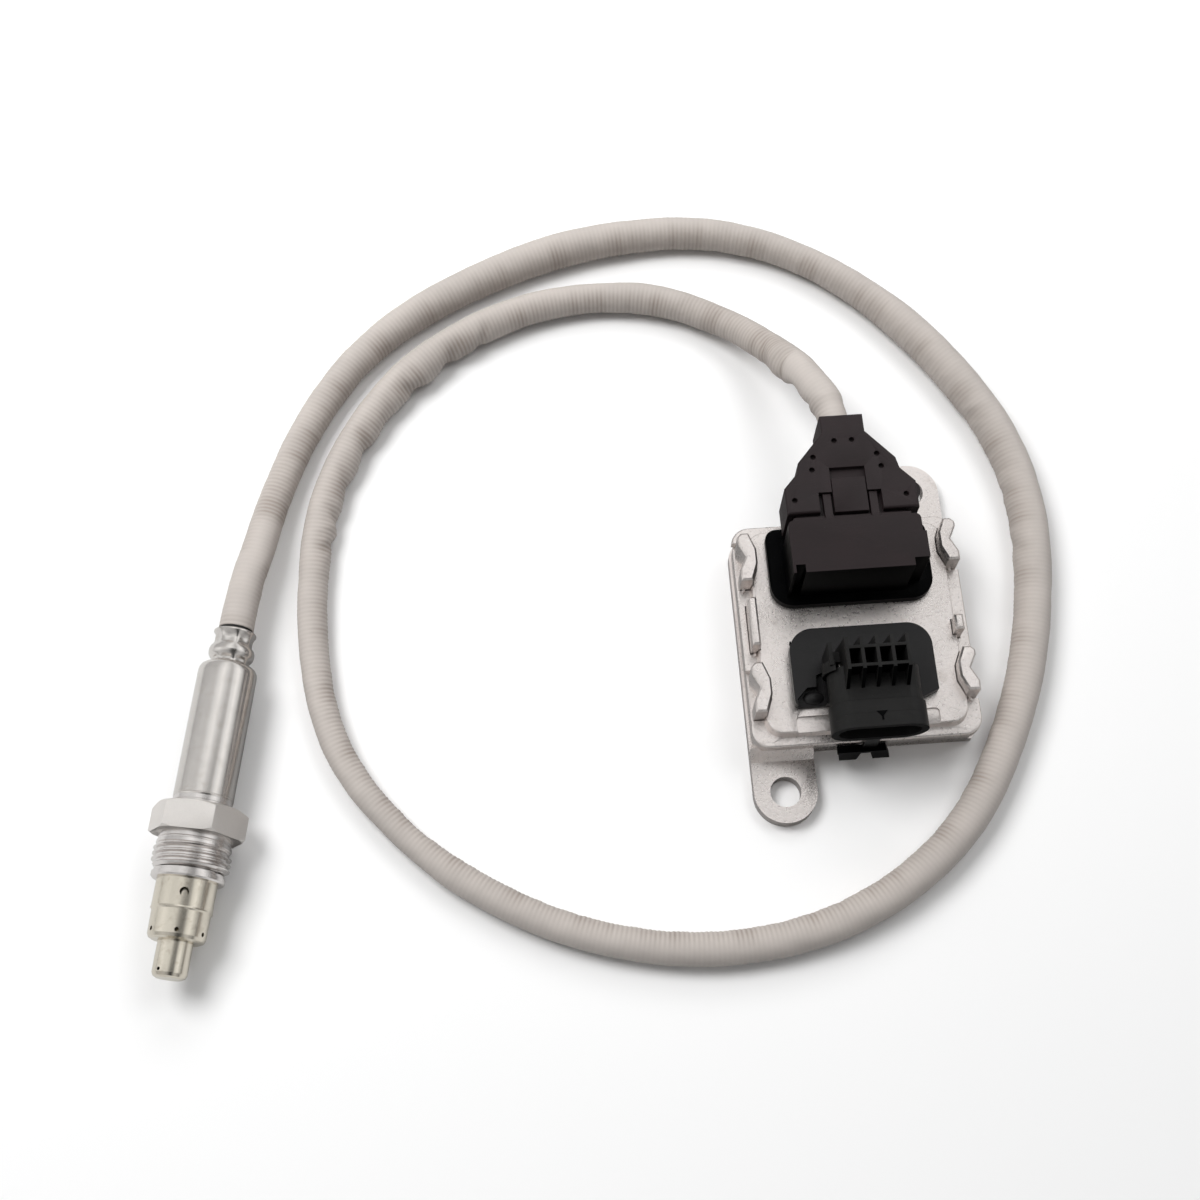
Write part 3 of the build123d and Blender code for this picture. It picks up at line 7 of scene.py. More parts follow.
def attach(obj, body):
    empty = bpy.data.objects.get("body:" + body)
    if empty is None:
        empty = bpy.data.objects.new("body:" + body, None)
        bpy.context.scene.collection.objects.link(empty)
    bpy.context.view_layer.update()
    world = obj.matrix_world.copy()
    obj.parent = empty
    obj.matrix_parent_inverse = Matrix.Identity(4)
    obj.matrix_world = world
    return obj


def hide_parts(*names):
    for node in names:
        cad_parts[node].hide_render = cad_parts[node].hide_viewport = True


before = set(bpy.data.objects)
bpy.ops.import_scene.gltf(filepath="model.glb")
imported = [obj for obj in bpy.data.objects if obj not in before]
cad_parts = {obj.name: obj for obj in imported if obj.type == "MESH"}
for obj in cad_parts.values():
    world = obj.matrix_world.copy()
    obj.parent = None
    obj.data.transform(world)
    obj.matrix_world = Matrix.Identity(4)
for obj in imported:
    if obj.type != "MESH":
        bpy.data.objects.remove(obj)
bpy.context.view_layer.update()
print("frame loaded:", len(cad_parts), "nodes")

# Where the photograph was taken from
camera = {
    "place": (-0.07912, -0.15208, 0.43376),
    "target": (-0.06698, 0.01827, 0.0),
    "lens": 50.3,
    "sensor": 36.0,
    "nearest": 0.01,
}
bpy.ops.object.camera_add(location=camera["place"])
eye = bpy.context.object
eye.data.lens = camera["lens"]
eye.data.sensor_width = camera["sensor"]
eye.data.clip_start = camera["nearest"]
bpy.context.scene.camera = eye


def aimAt(piece, place, target):
    piece.rotation_euler = (Vector(target) - Vector(place)).to_track_quat("-Z", "Y").to_euler()


aimAt(eye, camera["place"], camera["target"])


def clear():
    if bpy.context.object and bpy.context.object.mode != "OBJECT":
        bpy.ops.object.mode_set(mode="OBJECT")
    bpy.ops.object.select_all(action="DESELECT")


def pick(*pieces):  # select these alone, the last one active
    clear()
    for piece in pieces:
        piece.select_set(True)
        bpy.context.view_layer.objects.active = piece


class Sock:  # a node's output with arithmetic, so that masks read as plain sums
    def __init__(self, finish, socket):
        self.finish = finish
        self.socket = socket

    def sum(self, operation, *others):
        values = dict(enumerate((self, *others)))
        return self.finish.node("ShaderNodeMath", {"operation": operation}, values)

    def __add__(self, other):
        return self.sum("ADD", other)

    def __sub__(self, other):
        return self.sum("SUBTRACT", other)

    def __rsub__(self, other):
        return self.finish.node("ShaderNodeMath", {"operation": "SUBTRACT"}, {0: other, 1: self})

    def __mul__(self, other):
        return self.sum("MULTIPLY", other)

    def __truediv__(self, other):
        return self.sum("DIVIDE", other)

    def __pow__(self, other):
        return self.sum("POWER", other)

    __radd__ = __add__
    __rmul__ = __mul__

    def held(self, low=0.0, high=1.0):
        return self.sum("MAXIMUM", low).sum("MINIMUM", high)

    def ramp(self, low, high):  # 0 below low, 1 above high
        return self.finish.node(
            "ShaderNodeMapRange", {"interpolation_type": "SMOOTHSTEP"}, {0: self, 1: low, 2: high}
        )


def withAlpha(inputs):  # colours get their fourth number
    return {key: (*v, 1.0) if isinstance(v, tuple) and len(v) == 3 else v for key, v in inputs.items()}


def shaded(colour, times):
    return tuple(c * times for c in colour)


class Finish:  # the nodes of one material or of the world
    def __init__(self, holder):
        holder.use_nodes = True
        self.holder = holder
        self.tree = holder.node_tree
        self.tree.nodes.clear()

    def node(self, kind, settings=None, inputs=None, output=0):
        made = self.tree.nodes.new(kind)
        for key, value in (settings or {}).items():
            if key == "stops":
                elements = made.color_ramp.elements
                while len(elements) < len(value):
                    elements.new(0.5)
                for element, (place, colour) in zip(elements, value):
                    element.position = place
                    element.color = (*colour, 1.0)
            else:
                setattr(made, key, value)
        for key, value in (inputs or {}).items():
            if isinstance(value, Sock):
                self.tree.links.new(value.socket, made.inputs[key])
            else:
                made.inputs[key].default_value = value
        return Sock(self, made.outputs[output])

    def place(self, scale=(1, 1, 1), turn=(0, 0, 0)):
        here = self.node("ShaderNodeTexCoord", output="Object")
        return self.node("ShaderNodeMapping", {}, {"Vector": here, "Scale": scale, "Rotation": turn})

    def noise(self, where, scale, detail=3.0, roughness=0.5):
        inputs = {"Vector": where, "Scale": scale, "Detail": detail, "Roughness": roughness}
        return self.node("ShaderNodeTexNoise", {}, inputs)

    def axis(self, where, number):  # one of a vector's three numbers
        return self.node("ShaderNodeSeparateXYZ", {}, {"Vector": where}, output=number)

    def ray(self, kind):
        return self.node("ShaderNodeLightPath", output=kind)

    def mixed(self, share, first, second):  # two colours
        inputs = withAlpha({0: share, 6: first, 7: second})
        return self.node("ShaderNodeMix", {"data_type": "RGBA"}, inputs, output=2)

    def bump(self, height, strength, distance):
        inputs = {"Height": height, "Strength": strength, "Distance": distance}
        return self.node("ShaderNodeBump", {}, inputs)

    def surface(self, **values):
        named = withAlpha({key.replace("_", " "): value for key, value in values.items()})
        self.end(self.node("ShaderNodeBsdfPrincipled", {}, named))
        return self.holder

    def end(self, shader, kind="ShaderNodeOutputMaterial"):
        last = self.tree.nodes.new(kind)
        self.tree.links.new(shader.socket, last.inputs["Surface"])


def newFinish(name):
    return Finish(bpy.data.materials.new(name))


probe = {"mouth": Vector((-0.16572, 0.0113, 0.011)), "heading": math.radians(-99.92)}
probeDirection = Vector((math.cos(probe["heading"]), math.sin(probe["heading"]), 0))
probeLevel = Vector((0, 0, 1)).cross(probeDirection)
probeMatrix = Matrix.Translation(probe["mouth"]) @ Matrix(
    (probeLevel, Vector((0, 0, 1)), probeDirection)
).transposed().to_4x4()
probeTurn = probeMatrix.inverted().to_euler()


def castMetal(name, colour):
    made = newFinish(name)
    here = made.place()
    grain = made.noise(here, 2400, 3, 0.65)
    grit = made.noise(here, 1150, 4, 0.7)
    clouds = made.noise(here, 60, 4, 0.6)
    stains = made.noise(here, 170, 3, 0.6)
    specks = made.noise(here, 1500, 2, 0.5).ramp(0.6, 0.7)
    tone = made.mixed(clouds.ramp(0.35, 0.7), shaded(colour, 0.94), shaded(colour, 1.05))
    tone = made.mixed(specks * 0.4, tone, (0.9, 0.88, 0.86))
    tone = made.mixed(grit.ramp(0.52, 0.3) * 0.42, tone, shaded(colour, 0.6))
    tone = made.mixed(grain.ramp(0.56, 0.66) * 0.4, tone, (0.95, 0.93, 0.92))
    tone = made.mixed(stains.ramp(0.62, 0.74) * 0.25, tone, (0.46, 0.4, 0.35))
    height = grain * 0.5 + grit * 0.9
    return made.surface(
        Base_Color=tone,
        Metallic=0.9,
        Roughness=(0.16 + clouds * 0.12 + grit * 0.14),
        Normal=made.bump(height, 0.7, 0.00013),
    )


def blackPlastic(name, dark, pale, rough=0.36, specular=0.3, relief=0.25, seams=()):
    made = newFinish(name)
    here = made.place()
    clouds = made.noise(here, 90, 4, 0.6)
    grain = made.noise(here, 3500, 2, 0.5)
    drag = made.noise(made.place((1, 8, 1)), 260, 3, 0.6)  # faint pull marks from the mould
    dust = made.noise(here, 2200, 2, 0.5).ramp(0.7, 0.8)
    tone = made.mixed(clouds.ramp(0.3, 0.75), dark, pale)
    tone = made.mixed(drag.ramp(0.55, 0.75) * 0.3, tone, shaded(pale, 1.5))
    tone = made.mixed(dust * 0.2, tone, (0.09, 0.085, 0.085))
    height = grain + drag * 0.5
    station = made.axis(made.place(), 1)
    for seam in seams:  # parting lines of the mould, across the piece
        line = (station - seam / 1000).sum("ABSOLUTE").ramp(0.00009, 0.00002)
        tone = made.mixed(line * 0.7, tone, shaded(dark, 0.4))
        height = height - line * 2.0
    return made.surface(
        Base_Color=tone,
        Roughness=(rough + clouds * 0.16 + grain * 0.1).held(),
        Normal=made.bump(height, relief, 0.00006),
        Specular_IOR_Level=specular,
    )


def turnedSteel(name, colour, rough=0.2, streak=0.1, lines=0.35, tarnish=0.0):
    made = newFinish(name)
    along = made.place((60, 60, 4200), tuple(probeTurn))  # stretched round the probe, as turning marks are
    fine = made.noise(along, 1.0, 3, 0.65)
    here = made.place()
    clouds = made.noise(here, 140, 3, 0.5)
    smears = made.noise(here, 420, 4, 0.65)
    tone = made.mixed(clouds.ramp(0.35, 0.7), shaded(colour, 0.94), colour)
    tone = made.mixed(fine.ramp(0.55, 0.8) * 0.3, tone, tuple(min(1, c * 1.12) for c in colour))
    tone = made.mixed(smears.ramp(0.5, 0.72) * (0.12 + tarnish), tone, (0.42, 0.36, 0.28))
    return made.surface(
        Base_Color=tone,
        Metallic=1.0,
        Roughness=(rough + fine * streak + clouds * 0.06 + smears * 0.05).held(0.05, 1.0),
        Normal=made.bump(fine, lines, 0.00003),
    )


def satinSteel(name, colour):  # ground flats of the hexagon
    made = newFinish(name)
    here = made.place()
    grain = made.noise(here, 5200, 2, 0.6)
    clouds = made.noise(here, 110, 3, 0.5)
    scratch = made.noise(made.place((40, 2, 2), (0.3, 0.2, 0.9)), 160, 2, 0.5).ramp(0.68, 0.74)
    tone = made.mixed(clouds.ramp(0.3, 0.7), shaded(colour, 0.95), colour)
    tone = made.mixed(grain.ramp(0.45, 0.62) * 0.2, tone, shaded(colour, 0.8))
    tone = made.mixed(scratch * 0.3, tone, (0.9, 0.88, 0.86))
    return made.surface(
        Base_Color=tone,
        Metallic=0.85,
        Roughness=(0.36 + grain * 0.16 + clouds * 0.06).held(0.05, 1.0),
        Normal=made.bump(grain, 0.3, 0.00003),
    )


def plainGrain(name, dark, pale, rough=0.5, metal=0.0, scale=900, depth=0.00004):
    made = newFinish(name)
    here = made.place()
    grain = made.noise(here, scale, 3, 0.6)
    clouds = made.noise(here, scale * 0.12, 3, 0.5)
    tone = made.mixed(grain.ramp(0.35, 0.7), dark, pale)
    tone = made.mixed(clouds.ramp(0.4, 0.7) * 0.3, tone, shaded(dark, 0.75))
    return made.surface(
        Base_Color=tone,
        Metallic=metal,
        Roughness=(rough + grain * 0.12).held(0.05, 1.0),
        Normal=made.bump(grain, 0.4, depth),
    )


def dress(material, *nodes):
    for node in nodes:
        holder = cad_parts[node].data
        holder.materials.clear()
        holder.materials.append(material)


castAluminium = castMetal("castAluminium", (0.84, 0.785, 0.755))
padBlack = blackPlastic("padBlack", (0.0045, 0.0045, 0.0048), (0.009, 0.0085, 0.0088), 0.2, 0.3, 0.5)
# the rear pad's own black, also used as painted shade on the headers' upright and front faces
rearPadAndShadeBlack = blackPlastic(
    "rearPadAndShadeBlack", (0.0008, 0.0009, 0.001), (0.0018, 0.0019, 0.0021), 0.22, 0.03, 0.4
)
collarBlack = blackPlastic(
    "collarBlack", (0.0075, 0.0074, 0.0072), (0.0115, 0.0112, 0.011), 0.36, 0.22, 0.25, (-25.6, -29.3)
)
boxBlack = blackPlastic("boxBlack", (0.0105, 0.0066, 0.0072), (0.0145, 0.0092, 0.01), 0.46, 0.38)
plugBlack = blackPlastic("plugBlack", (0.0125, 0.0082, 0.0089), (0.0175, 0.0115, 0.0125), 0.42, 0.4)
sleeveSteel = turnedSteel("sleeveSteel", (0.72, 0.69, 0.66), 0.12, 0.08)
nutSteel = turnedSteel("nutSteel", (0.78, 0.75, 0.73), 0.14, 0.1)
hexSteel = satinSteel("hexSteel", (0.86, 0.825, 0.79))
tubeSteel = turnedSteel("tubeSteel", (0.74, 0.69, 0.59), 0.12, 0.08, 0.3, 0.2)
dress(castAluminium, "lower_housing", "cover_plate")
dress(padBlack, "vehicle_header")
dress(boxBlack, "cable_header")
dress(plugBlack, "plug_body", "wire_cover_top", "wire_cover_bottom")
dress(nutSteel, "probe_body", "union_nut", "board_screws")
dress(sleeveSteel, "outer_sleeve")
dress(tubeSteel, "outer_protection_tube", "inner_protection_tube")
dress(plainGrain("boardGreen", (0.01, 0.09, 0.03), (0.02, 0.16, 0.06), 0.35), "circuit_board")
dress(
    plainGrain("chipCase", (0.012, 0.012, 0.013), (0.03, 0.03, 0.032), 0.5),
    "processor_chip",
    "driver_chip",
    "bus_chip",
    "choke_coil",
)
dress(plainGrain("canMetal", (0.6, 0.6, 0.6), (0.75, 0.75, 0.75), 0.25, 1.0), "buffer_capacitors")
sealRubber = plainGrain("sealRubber", (0.008, 0.008, 0.008), (0.022, 0.022, 0.022), 0.6)
dress(sealRubber, "cover_seal", "plug_seal", "wire_seal", "grommet", "thermal_pad")
dress(
    plainGrain("tinnedPins", (0.62, 0.6, 0.55), (0.8, 0.78, 0.74), 0.25, 1.0, 1400),
    "vehicle_header_pins",
    "cable_header_pins",
    "plug_terminals",
    "contact_springs",
)
dress(plainGrain("wireSleeves", (0.1, 0.09, 0.08), (0.2, 0.18, 0.16), 0.45), "plug_wires", "probe_wires")
dress(
    plainGrain("whiteCeramic", (0.72, 0.7, 0.66), (0.86, 0.85, 0.82), 0.4),
    "lower_insulator",
    "upper_insulator",
    "contact_holder",
    "sensing_element",
)
dress(
    plainGrain("packedPowder", (0.5, 0.48, 0.44), (0.72, 0.7, 0.66), 0.8, 0.0, 2400, 0.0001),
    "powder_ring",
)
print("materials ready")


def settle(piece, name, body, slot, material, *nodes):  # name, dress and bind a finished piece
    piece.name = name
    piece.data.name = name
    if material:
        piece.data.materials.clear()
        piece.data.materials.append(material)
    if nodes:
        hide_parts(*nodes)
    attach(piece, body)
    print(name + ":", len(piece.data.polygons), "faces")
    return piece


def useModifier(piece, kind, **values):
    added = piece.modifiers.new(kind.lower(), kind)
    for key, value in values.items():
        setattr(added, key, value)
    pick(piece)
    bpy.ops.object.modifier_apply(modifier=added.name)


def smoothFaces(piece, below):  # degrees
    pick(piece)
    bpy.ops.object.shade_smooth_by_angle(angle=math.radians(below))


def roundEdges(piece, width, sharperThan, **more):  # mm, degrees
    useModifier(
        piece,
        "BEVEL",
        width=width / 1000,
        segments=meshing["edgeSteps"],
        limit_method="ANGLE",
        angle_limit=math.radians(sharperThan),
        **more,
    )


meshing = {
    "weld": 0.000002,  # metres
    "flatWithin": 0.6,  # degrees
    "roundSteps": 96,
    "edgeSteps": 2,
    "roundBelow": 60,  # degrees, for lumps and rings
}


def cadCopy(node):  # the node's mesh with its triangles merged into flats
    piece = bpy.data.objects.new(node + "Copy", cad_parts[node].data.copy())
    bpy.context.scene.collection.objects.link(piece)
    pick(piece)
    bpy.ops.object.mode_set(mode="EDIT")
    bpy.ops.mesh.select_all(action="SELECT")
    bpy.ops.mesh.remove_doubles(threshold=meshing["weld"])
    bpy.ops.mesh.dissolve_limited(angle_limit=math.radians(meshing["flatWithin"]))
    bpy.ops.object.mode_set(mode="OBJECT")
    return piece


# Worn edges: each moulded or cast part gets the small rounding that its tool leaves
rounding = {"sharperThan": 28, "smoothBelow": 40}  # degrees
edges = {  # name, slot, material, mm
    "lower_housing": ("castHousing", "die_cast_aluminium", castAluminium, 0.28),
    "cover_plate": ("castCover", "die_cast_aluminium", castAluminium, 0.22),
    "vehicle_header": ("vehicleSocket", "black_plastic", padBlack, 0.13),
    "cable_header": ("cableSocket", "black_plastic", rearPadAndShadeBlack, 0.22),
    "plug_body": ("latchedPlug", "black_plastic", plugBlack, 0.16),
    "wire_cover_top": ("wireShellTop", "black_plastic", plugBlack, 0.16),
    "wire_cover_bottom": ("wireShellBottom", "black_plastic", plugBlack, 0.16),
}
# Painted light and shade on the two headers: tops get a paler black, upright and front faces the blackest
litTopsShadedSides = {
    "padLevel": 0.0192,  # just over the top of both pads
    "lockLevel": 0.0135,  # the lock hangs below it
    "frontward": -0.6,  # steeper faces towards the front get the blackest finish, as painted shade
    "upward": 0.5,  # and so do the tall box's sides, as painted shade
}
softer = {}
for node, (name, slot, material, width) in edges.items():
    piece = cadCopy(node)
    smoothFaces(piece, rounding["smoothBelow"])
    roundEdges(
        piece,
        width,
        rounding["sharperThan"],
        use_clamp_overlap=True,
        miter_outer="MITER_ARC",
        harden_normals=True,
    )
    softer[node] = settle(piece, name, "sensor", slot, material, node)
for node, material in (("vehicle_header", collarBlack), ("cable_header", boxBlack)):
    mesh = softer[node].data  # painted light and shade: tops get a paler, greyer black than the pad, upright and front faces the blackest one
    mesh.materials.append(material)
    mesh.materials.append(rearPadAndShadeBlack)
    isBox = node == "cable_header"
    for polygon in mesh.polygons:
        if polygon.center.z > litTopsShadedSides["padLevel"]:
            side = isBox and polygon.normal.z < litTopsShadedSides["upward"]
            paintedDark = side or polygon.normal.y < litTopsShadedSides["frontward"]
            polygon.material_index = 2 if paintedDark else 1
        elif polygon.center.z < litTopsShadedSides["lockLevel"]:
            polygon.material_index = 2


def turned(profile):  # a closed outline of (station, radius) in mm, spun round the probe's axis
    clear()
    bpy.ops.mesh.primitive_circle_add(vertices=len(profile), radius=0.01)
    piece = bpy.context.object
    for corner, (station, radius) in zip(piece.data.vertices, profile):
        corner.co = (radius / 1000, 0, station / 1000)
    bpy.ops.object.mode_set(mode="EDIT")
    bpy.ops.mesh.select_all(action="SELECT")
    bpy.ops.mesh.spin(steps=meshing["roundSteps"], angle=2 * math.pi, center=(0, 0, 0), axis=(0, 0, 1))
    bpy.ops.mesh.select_all(action="SELECT")
    bpy.ops.mesh.remove_doubles(threshold=meshing["weld"])
    bpy.ops.mesh.normals_make_consistent(inside=False)
    bpy.ops.object.mode_set(mode="OBJECT")
    return piece


def intoPlace(piece):  # from the axis at the origin to the probe's place in the frame
    piece.data.transform(probeMatrix)
    piece.data.update()


# Crimped sleeve: eight flats squeeze the neck above and below the bulge
sleeve = {
    "outline": [
        # mm from the mouth, mm radius
        (0.0, 5.45), (0.15, 5.6), (0.5, 5.62), (1.0, 5.3), (1.7, 5.05), (2.6, 5.0), (3.4, 5.02), (4.1, 5.3),
        (4.7, 5.75), (5.4, 6.0), (6.2, 6.05), (7.0, 5.9), (7.6, 5.5), (8.1, 5.12), (8.7, 5.0), (9.1, 5.1),
        (9.35, 5.35), (9.5, 5.9), (9.75, 6.6), (10.2, 7.15), (10.9, 7.55), (11.7, 7.72), (12.6, 7.75),
        (13.2, 7.75), (30.0, 7.75), (45.3, 7.75), (45.7, 7.75), (45.8, 7.66), (45.95, 7.66), (46.05, 7.75),
        (46.4, 7.72),
    ],
    "wall": 0.45,
    "flats": 8,
    "crimps": ((0.9, 4.3), (7.6, 9.2)),  # mm, from and to
    "squeeze": 0.42,  # mm
    "plateau": 0.5,  # lower makes a longer crimp
    "hollow": 1.5,  # higher makes narrower flats
    "smoothBelow": 35,
}
rim = [(station, radius - sleeve["wall"]) for station, radius in reversed(sleeve["outline"])]
piece = turned(sleeve["outline"] + rim)
for corner in piece.data.vertices:
    station = corner.co.z * 1000
    for start, end in sleeve["crimps"]:
        if start < station < end:
            turn = math.atan2(corner.co.y, corner.co.x) * sleeve["flats"] / 2
            depth = math.sin(math.pi * (station - start) / (end - start)) ** sleeve["plateau"]
            press = sleeve["squeeze"] * depth * (abs(math.cos(turn)) ** sleeve["hollow"])
            radius = math.hypot(corner.co.x, corner.co.y)
            corner.co.x *= 1 - press / 1000 / radius
            corner.co.y *= 1 - press / 1000 / radius
intoPlace(piece)
smoothFaces(piece, sleeve["smoothBelow"])
settle(piece, "crimpedSleeve", "sensor", "bright_steel", sleeveSteel, "outer_sleeve")

# Union nut: softened hexagon, grooved neck and a cut thread
nut = {  # mm
    "hexEnd": 56.2,
    "hair": 0.01,  # the solid is cut this far before the hexagon's end
    "hexEdge": 0.22,
    "hexSharperThan": 24,  # degrees
    "hexSmoothBelow": 30,
    "smoothBelow": 28,
    "core": [
        (56.0, 7.75), (56.0, 9.3), (57.5, 9.3), (57.7, 9.05), (58.0, 9.05), (58.2, 9.5), (59.0, 9.6),
        (59.3, 9.2), (64.5, 9.2), (64.9, 8.85), (64.9, 7.75),
    ],
    "pitch": 1.5,
    "turns": 3.45,
    "root": 9.1,
    "sunk": 0.2,  # how far the ridge starts inside the core
    "crest": 9.98,
    "footShare": 0.92,  # of half the pitch
    "crestShare": 0.16,
    "runOut": (0.35, 0.9),  # mm flat, then mm rising, at both ends
    "start": 59.55,
    "stepsPerTurn": 80,
}
hexagon = cadCopy("union_nut")
hexFaceMiddle = probeMatrix @ Vector((0, 0, nut["hexEnd"] / 1000 - nut["hair"] / 1000))
bpy.ops.object.mode_set(mode="EDIT")
bpy.ops.mesh.select_all(action="SELECT")
bpy.ops.mesh.bisect(plane_co=hexFaceMiddle, plane_no=probeDirection, clear_outer=True, use_fill=True)
bpy.ops.object.mode_set(mode="OBJECT")
roundEdges(hexagon, nut["hexEdge"], nut["hexSharperThan"])
smoothFaces(hexagon, nut["hexSmoothBelow"])
hexagon.data.materials.clear()
hexagon.data.materials.append(hexSteel)
core = turned(nut["core"])
clear()
bpy.ops.mesh.primitive_circle_add(vertices=4, radius=0.001)
ridge = bpy.context.object
toothHalf = nut["pitch"] / 2
tooth = [
    (nut["root"] - nut["sunk"], -toothHalf * nut["footShare"]),
    (nut["crest"], -toothHalf * nut["crestShare"]),
    (nut["crest"], toothHalf * nut["crestShare"]),
    (nut["root"] - nut["sunk"], toothHalf * nut["footShare"]),
]
for corner, (radius, rise) in zip(ridge.data.vertices, tooth):
    corner.co = (radius / 1000, 0, (nut["start"] + rise) / 1000)
threadSteps = int(nut["turns"] * nut["stepsPerTurn"])
useModifier(
    ridge,
    "SCREW",
    axis="Z",
    angle=2 * math.pi * nut["turns"],
    screw_offset=nut["pitch"] * nut["turns"] / 1000,
    iterations=1,
    steps=threadSteps,
    render_steps=threadSteps,
)
low = min(corner.co.z for corner in ridge.data.vertices)
high = max(corner.co.z for corner in ridge.data.vertices)
for corner in ridge.data.vertices:  # the thread runs out into the core at both ends
    fromEnd = min(corner.co.z - low, high - corner.co.z) * 1000
    keep = min(1.0, max(0.0, (fromEnd - nut["runOut"][0]) / nut["runOut"][1]))
    radius = math.hypot(corner.co.x, corner.co.y) * 1000
    if radius > nut["root"]:
        wanted = nut["root"] + (radius - nut["root"]) * keep
        corner.co.x *= wanted / radius
        corner.co.y *= wanted / radius
bpy.ops.object.mode_set(mode="EDIT")
bpy.ops.mesh.select_all(action="DESELECT")
bpy.ops.mesh.select_mode(type="VERT")
bpy.ops.mesh.select_non_manifold()
bpy.ops.mesh.edge_face_add()
bpy.ops.mesh.select_all(action="SELECT")
bpy.ops.mesh.normals_make_consistent(inside=False)
bpy.ops.object.mode_set(mode="OBJECT")
for part in (core, ridge):
    intoPlace(part)
    smoothFaces(part, nut["smoothBelow"])
    part.data.materials.clear()
    part.data.materials.append(nutSteel)
pick(ridge, core, hexagon)
bpy.ops.object.join()
settle(bpy.context.object, "threadedNut", "union_nut", "bright_steel", None, "union_nut")

# The hose: the same points as the tube's route in the solids
hose = {
    "points": [
        (-0.0004, 0.0489, 0.0273),
        (-0.0004, 0.0575, 0.0273),
        (-0.0050, 0.0697, 0.0246),
        (-0.0106, 0.0833, 0.0150),
        (-0.0238, 0.1011, 0.0056),
        (-0.0490, 0.1131, 0.0047),
        (-0.0847, 0.1110, 0.0050),
        (-0.1194, 0.0913, 0.0050),
        (-0.1418, 0.0582, 0.0047),
        (-0.1473, 0.0201, 0.0044),
        (-0.1429, -0.0200, 0.0042),
        (-0.1197, -0.0507, 0.0040),
        (-0.0871, -0.0722, 0.0043),
        (-0.0506, -0.0821, 0.0044),
        (-0.0120, -0.0782, 0.0047),
        (0.0216, -0.0585, 0.0049),
        (0.0419, -0.0261, 0.0051),
        (0.0532, 0.0106, 0.0053),
        (0.0546, 0.0487, 0.0055),
        (0.0384, 0.0839, 0.0055),
        (0.0129, 0.1142, 0.0051),
        (-0.0205, 0.1329, 0.0049),
        (-0.0601, 0.1328, 0.0053),
        (-0.0965, 0.1212, 0.0052),
        (-0.1283, 0.1022, 0.0050),
        (-0.1469, 0.0764, 0.0048),
        (-0.1562, 0.0527, 0.0058),
        (-0.1597, 0.0377, 0.0086),
        (-0.163482, 0.024106, 0.011),
        (-0.165548, 0.012285, 0.011),
    ],
    "radii": (  # mm along the hose, mm radius
        (0, 4.1), (9.5, 4.1), (13, 4.7), (20, 4.5), (29, 4.85), (37, 4.7), (48, 4.35), (60, 4.2),
        (73, 4.4), (87, 4.55), (103, 4.3), (121, 4.55), (140, 4.9), (159, 5.1), (179, 4.7), (198, 4.55),
        (218, 4.45), (237, 4.1), (276, 3.85), (314, 3.55), (334, 4.1), (372, 4.2), (410, 4.4), (448, 4.7),
        (486, 4.85), (543, 5.0), (562, 5.25), (619, 5.4), (638, 5.25), (658, 4.65), (677, 4.35),
        (715, 4.75), (754, 5.2), (791, 4.95), (826, 4.55), (867, 4.35), (892, 4.5), (920, 4.65),
    ),
    "folds": (  # mm along the hose, mm deep, mm to each side: on the inner side of the bend
        (17.0, 0.5, 2.6), (24.5, 1.5, 4.6), (31.0, 0.4, 2.0), (35.0, -0.9, 5.0), (42.5, 0.5, 3.0),
        (139, 0.7, 3.0), (151, 1.1, 5.0), (160, -0.4, 3.5), (167, 0.9, 4.0), (177, 0.4, 4.0),
        (183, -0.3, 3.0), (189.5, 0.8, 4.0), (196, -0.4, 3.0), (202.5, 0.7, 3.5), (209, -0.25, 3.0),
        (214.5, 0.5, 3.0), (219, -0.4, 2.4), (223.5, 0.5, 3.0), (560, 0.3, 4.0), (578, 0.25, 3.0),
        (604, 0.35, 4.0),
    ),
    "foldLean": 1.6,  # mm that a fold wanders round the hose
    "foldReach": 0.15,  # how far past the bend's side it goes
    "diameter": 0.009,
    "pitch": 0.00125,
    "ribDepth": 0.00009,
    "ribWidth": 0.7,  # lower makes wider ribs
    "ribEven": 0.5,  # how much of their depth they have all round
    "ribInner": 1.1,  # and how much more on the inner side of a bend
    "steps": 4,  # rings to a rib
    "sides": 30,
    "crinkle": 0.00009,
    "swells": ((0.00008, 160, 1.3, 7), (0.00006, 420, -1.0, 1)),  # metres, how often, slant, seed
    "bendRings": 12,  # a bend is measured this far to both sides
    "sharpBend": 9.0,  # one over its radius in metres
    "calmEnd": 0.012,
    "floorGap": 0.0002,
}
hoseShade = {  # painted shade in creases, on the inner side of bends and in folds: how strong on straights and in bends, and how far round the hose
    "straight": 0.35,
    "bent": 0.65,
    "around": 0.35,
    "evenly": 0.5,
    "patches": (310, 0.15, 0.5),  # how often, how wide, how strong
    "inFolds": 0.5,
}
print("hose: smooth line")
line = bpy.data.curves.new("hoseLine", "CURVE")
line.dimensions = "3D"
line.resolution_u = 40
spline = line.splines.new("NURBS")
spline.points.add(len(hose["points"]) - 1)
for knot, place in zip(spline.points, hose["points"]):
    knot.co = (*place, 1.0)
spline.order_u = 3
spline.use_endpoint_u = True
guide = bpy.data.objects.new("hoseLine", line)
bpy.context.scene.collection.objects.link(guide)
centreline = [vertex.co.copy() for vertex in bpy.data.meshes.new_from_object(guide).vertices]
bpy.data.objects.remove(guide)

# Walk the line at even steps
lengths = [0.0]
for first, second in zip(centreline, centreline[1:]):
    lengths.append(lengths[-1] + (second - first).length)
hoseLength = lengths[-1]
print("hose length", round(hoseLength, 4))


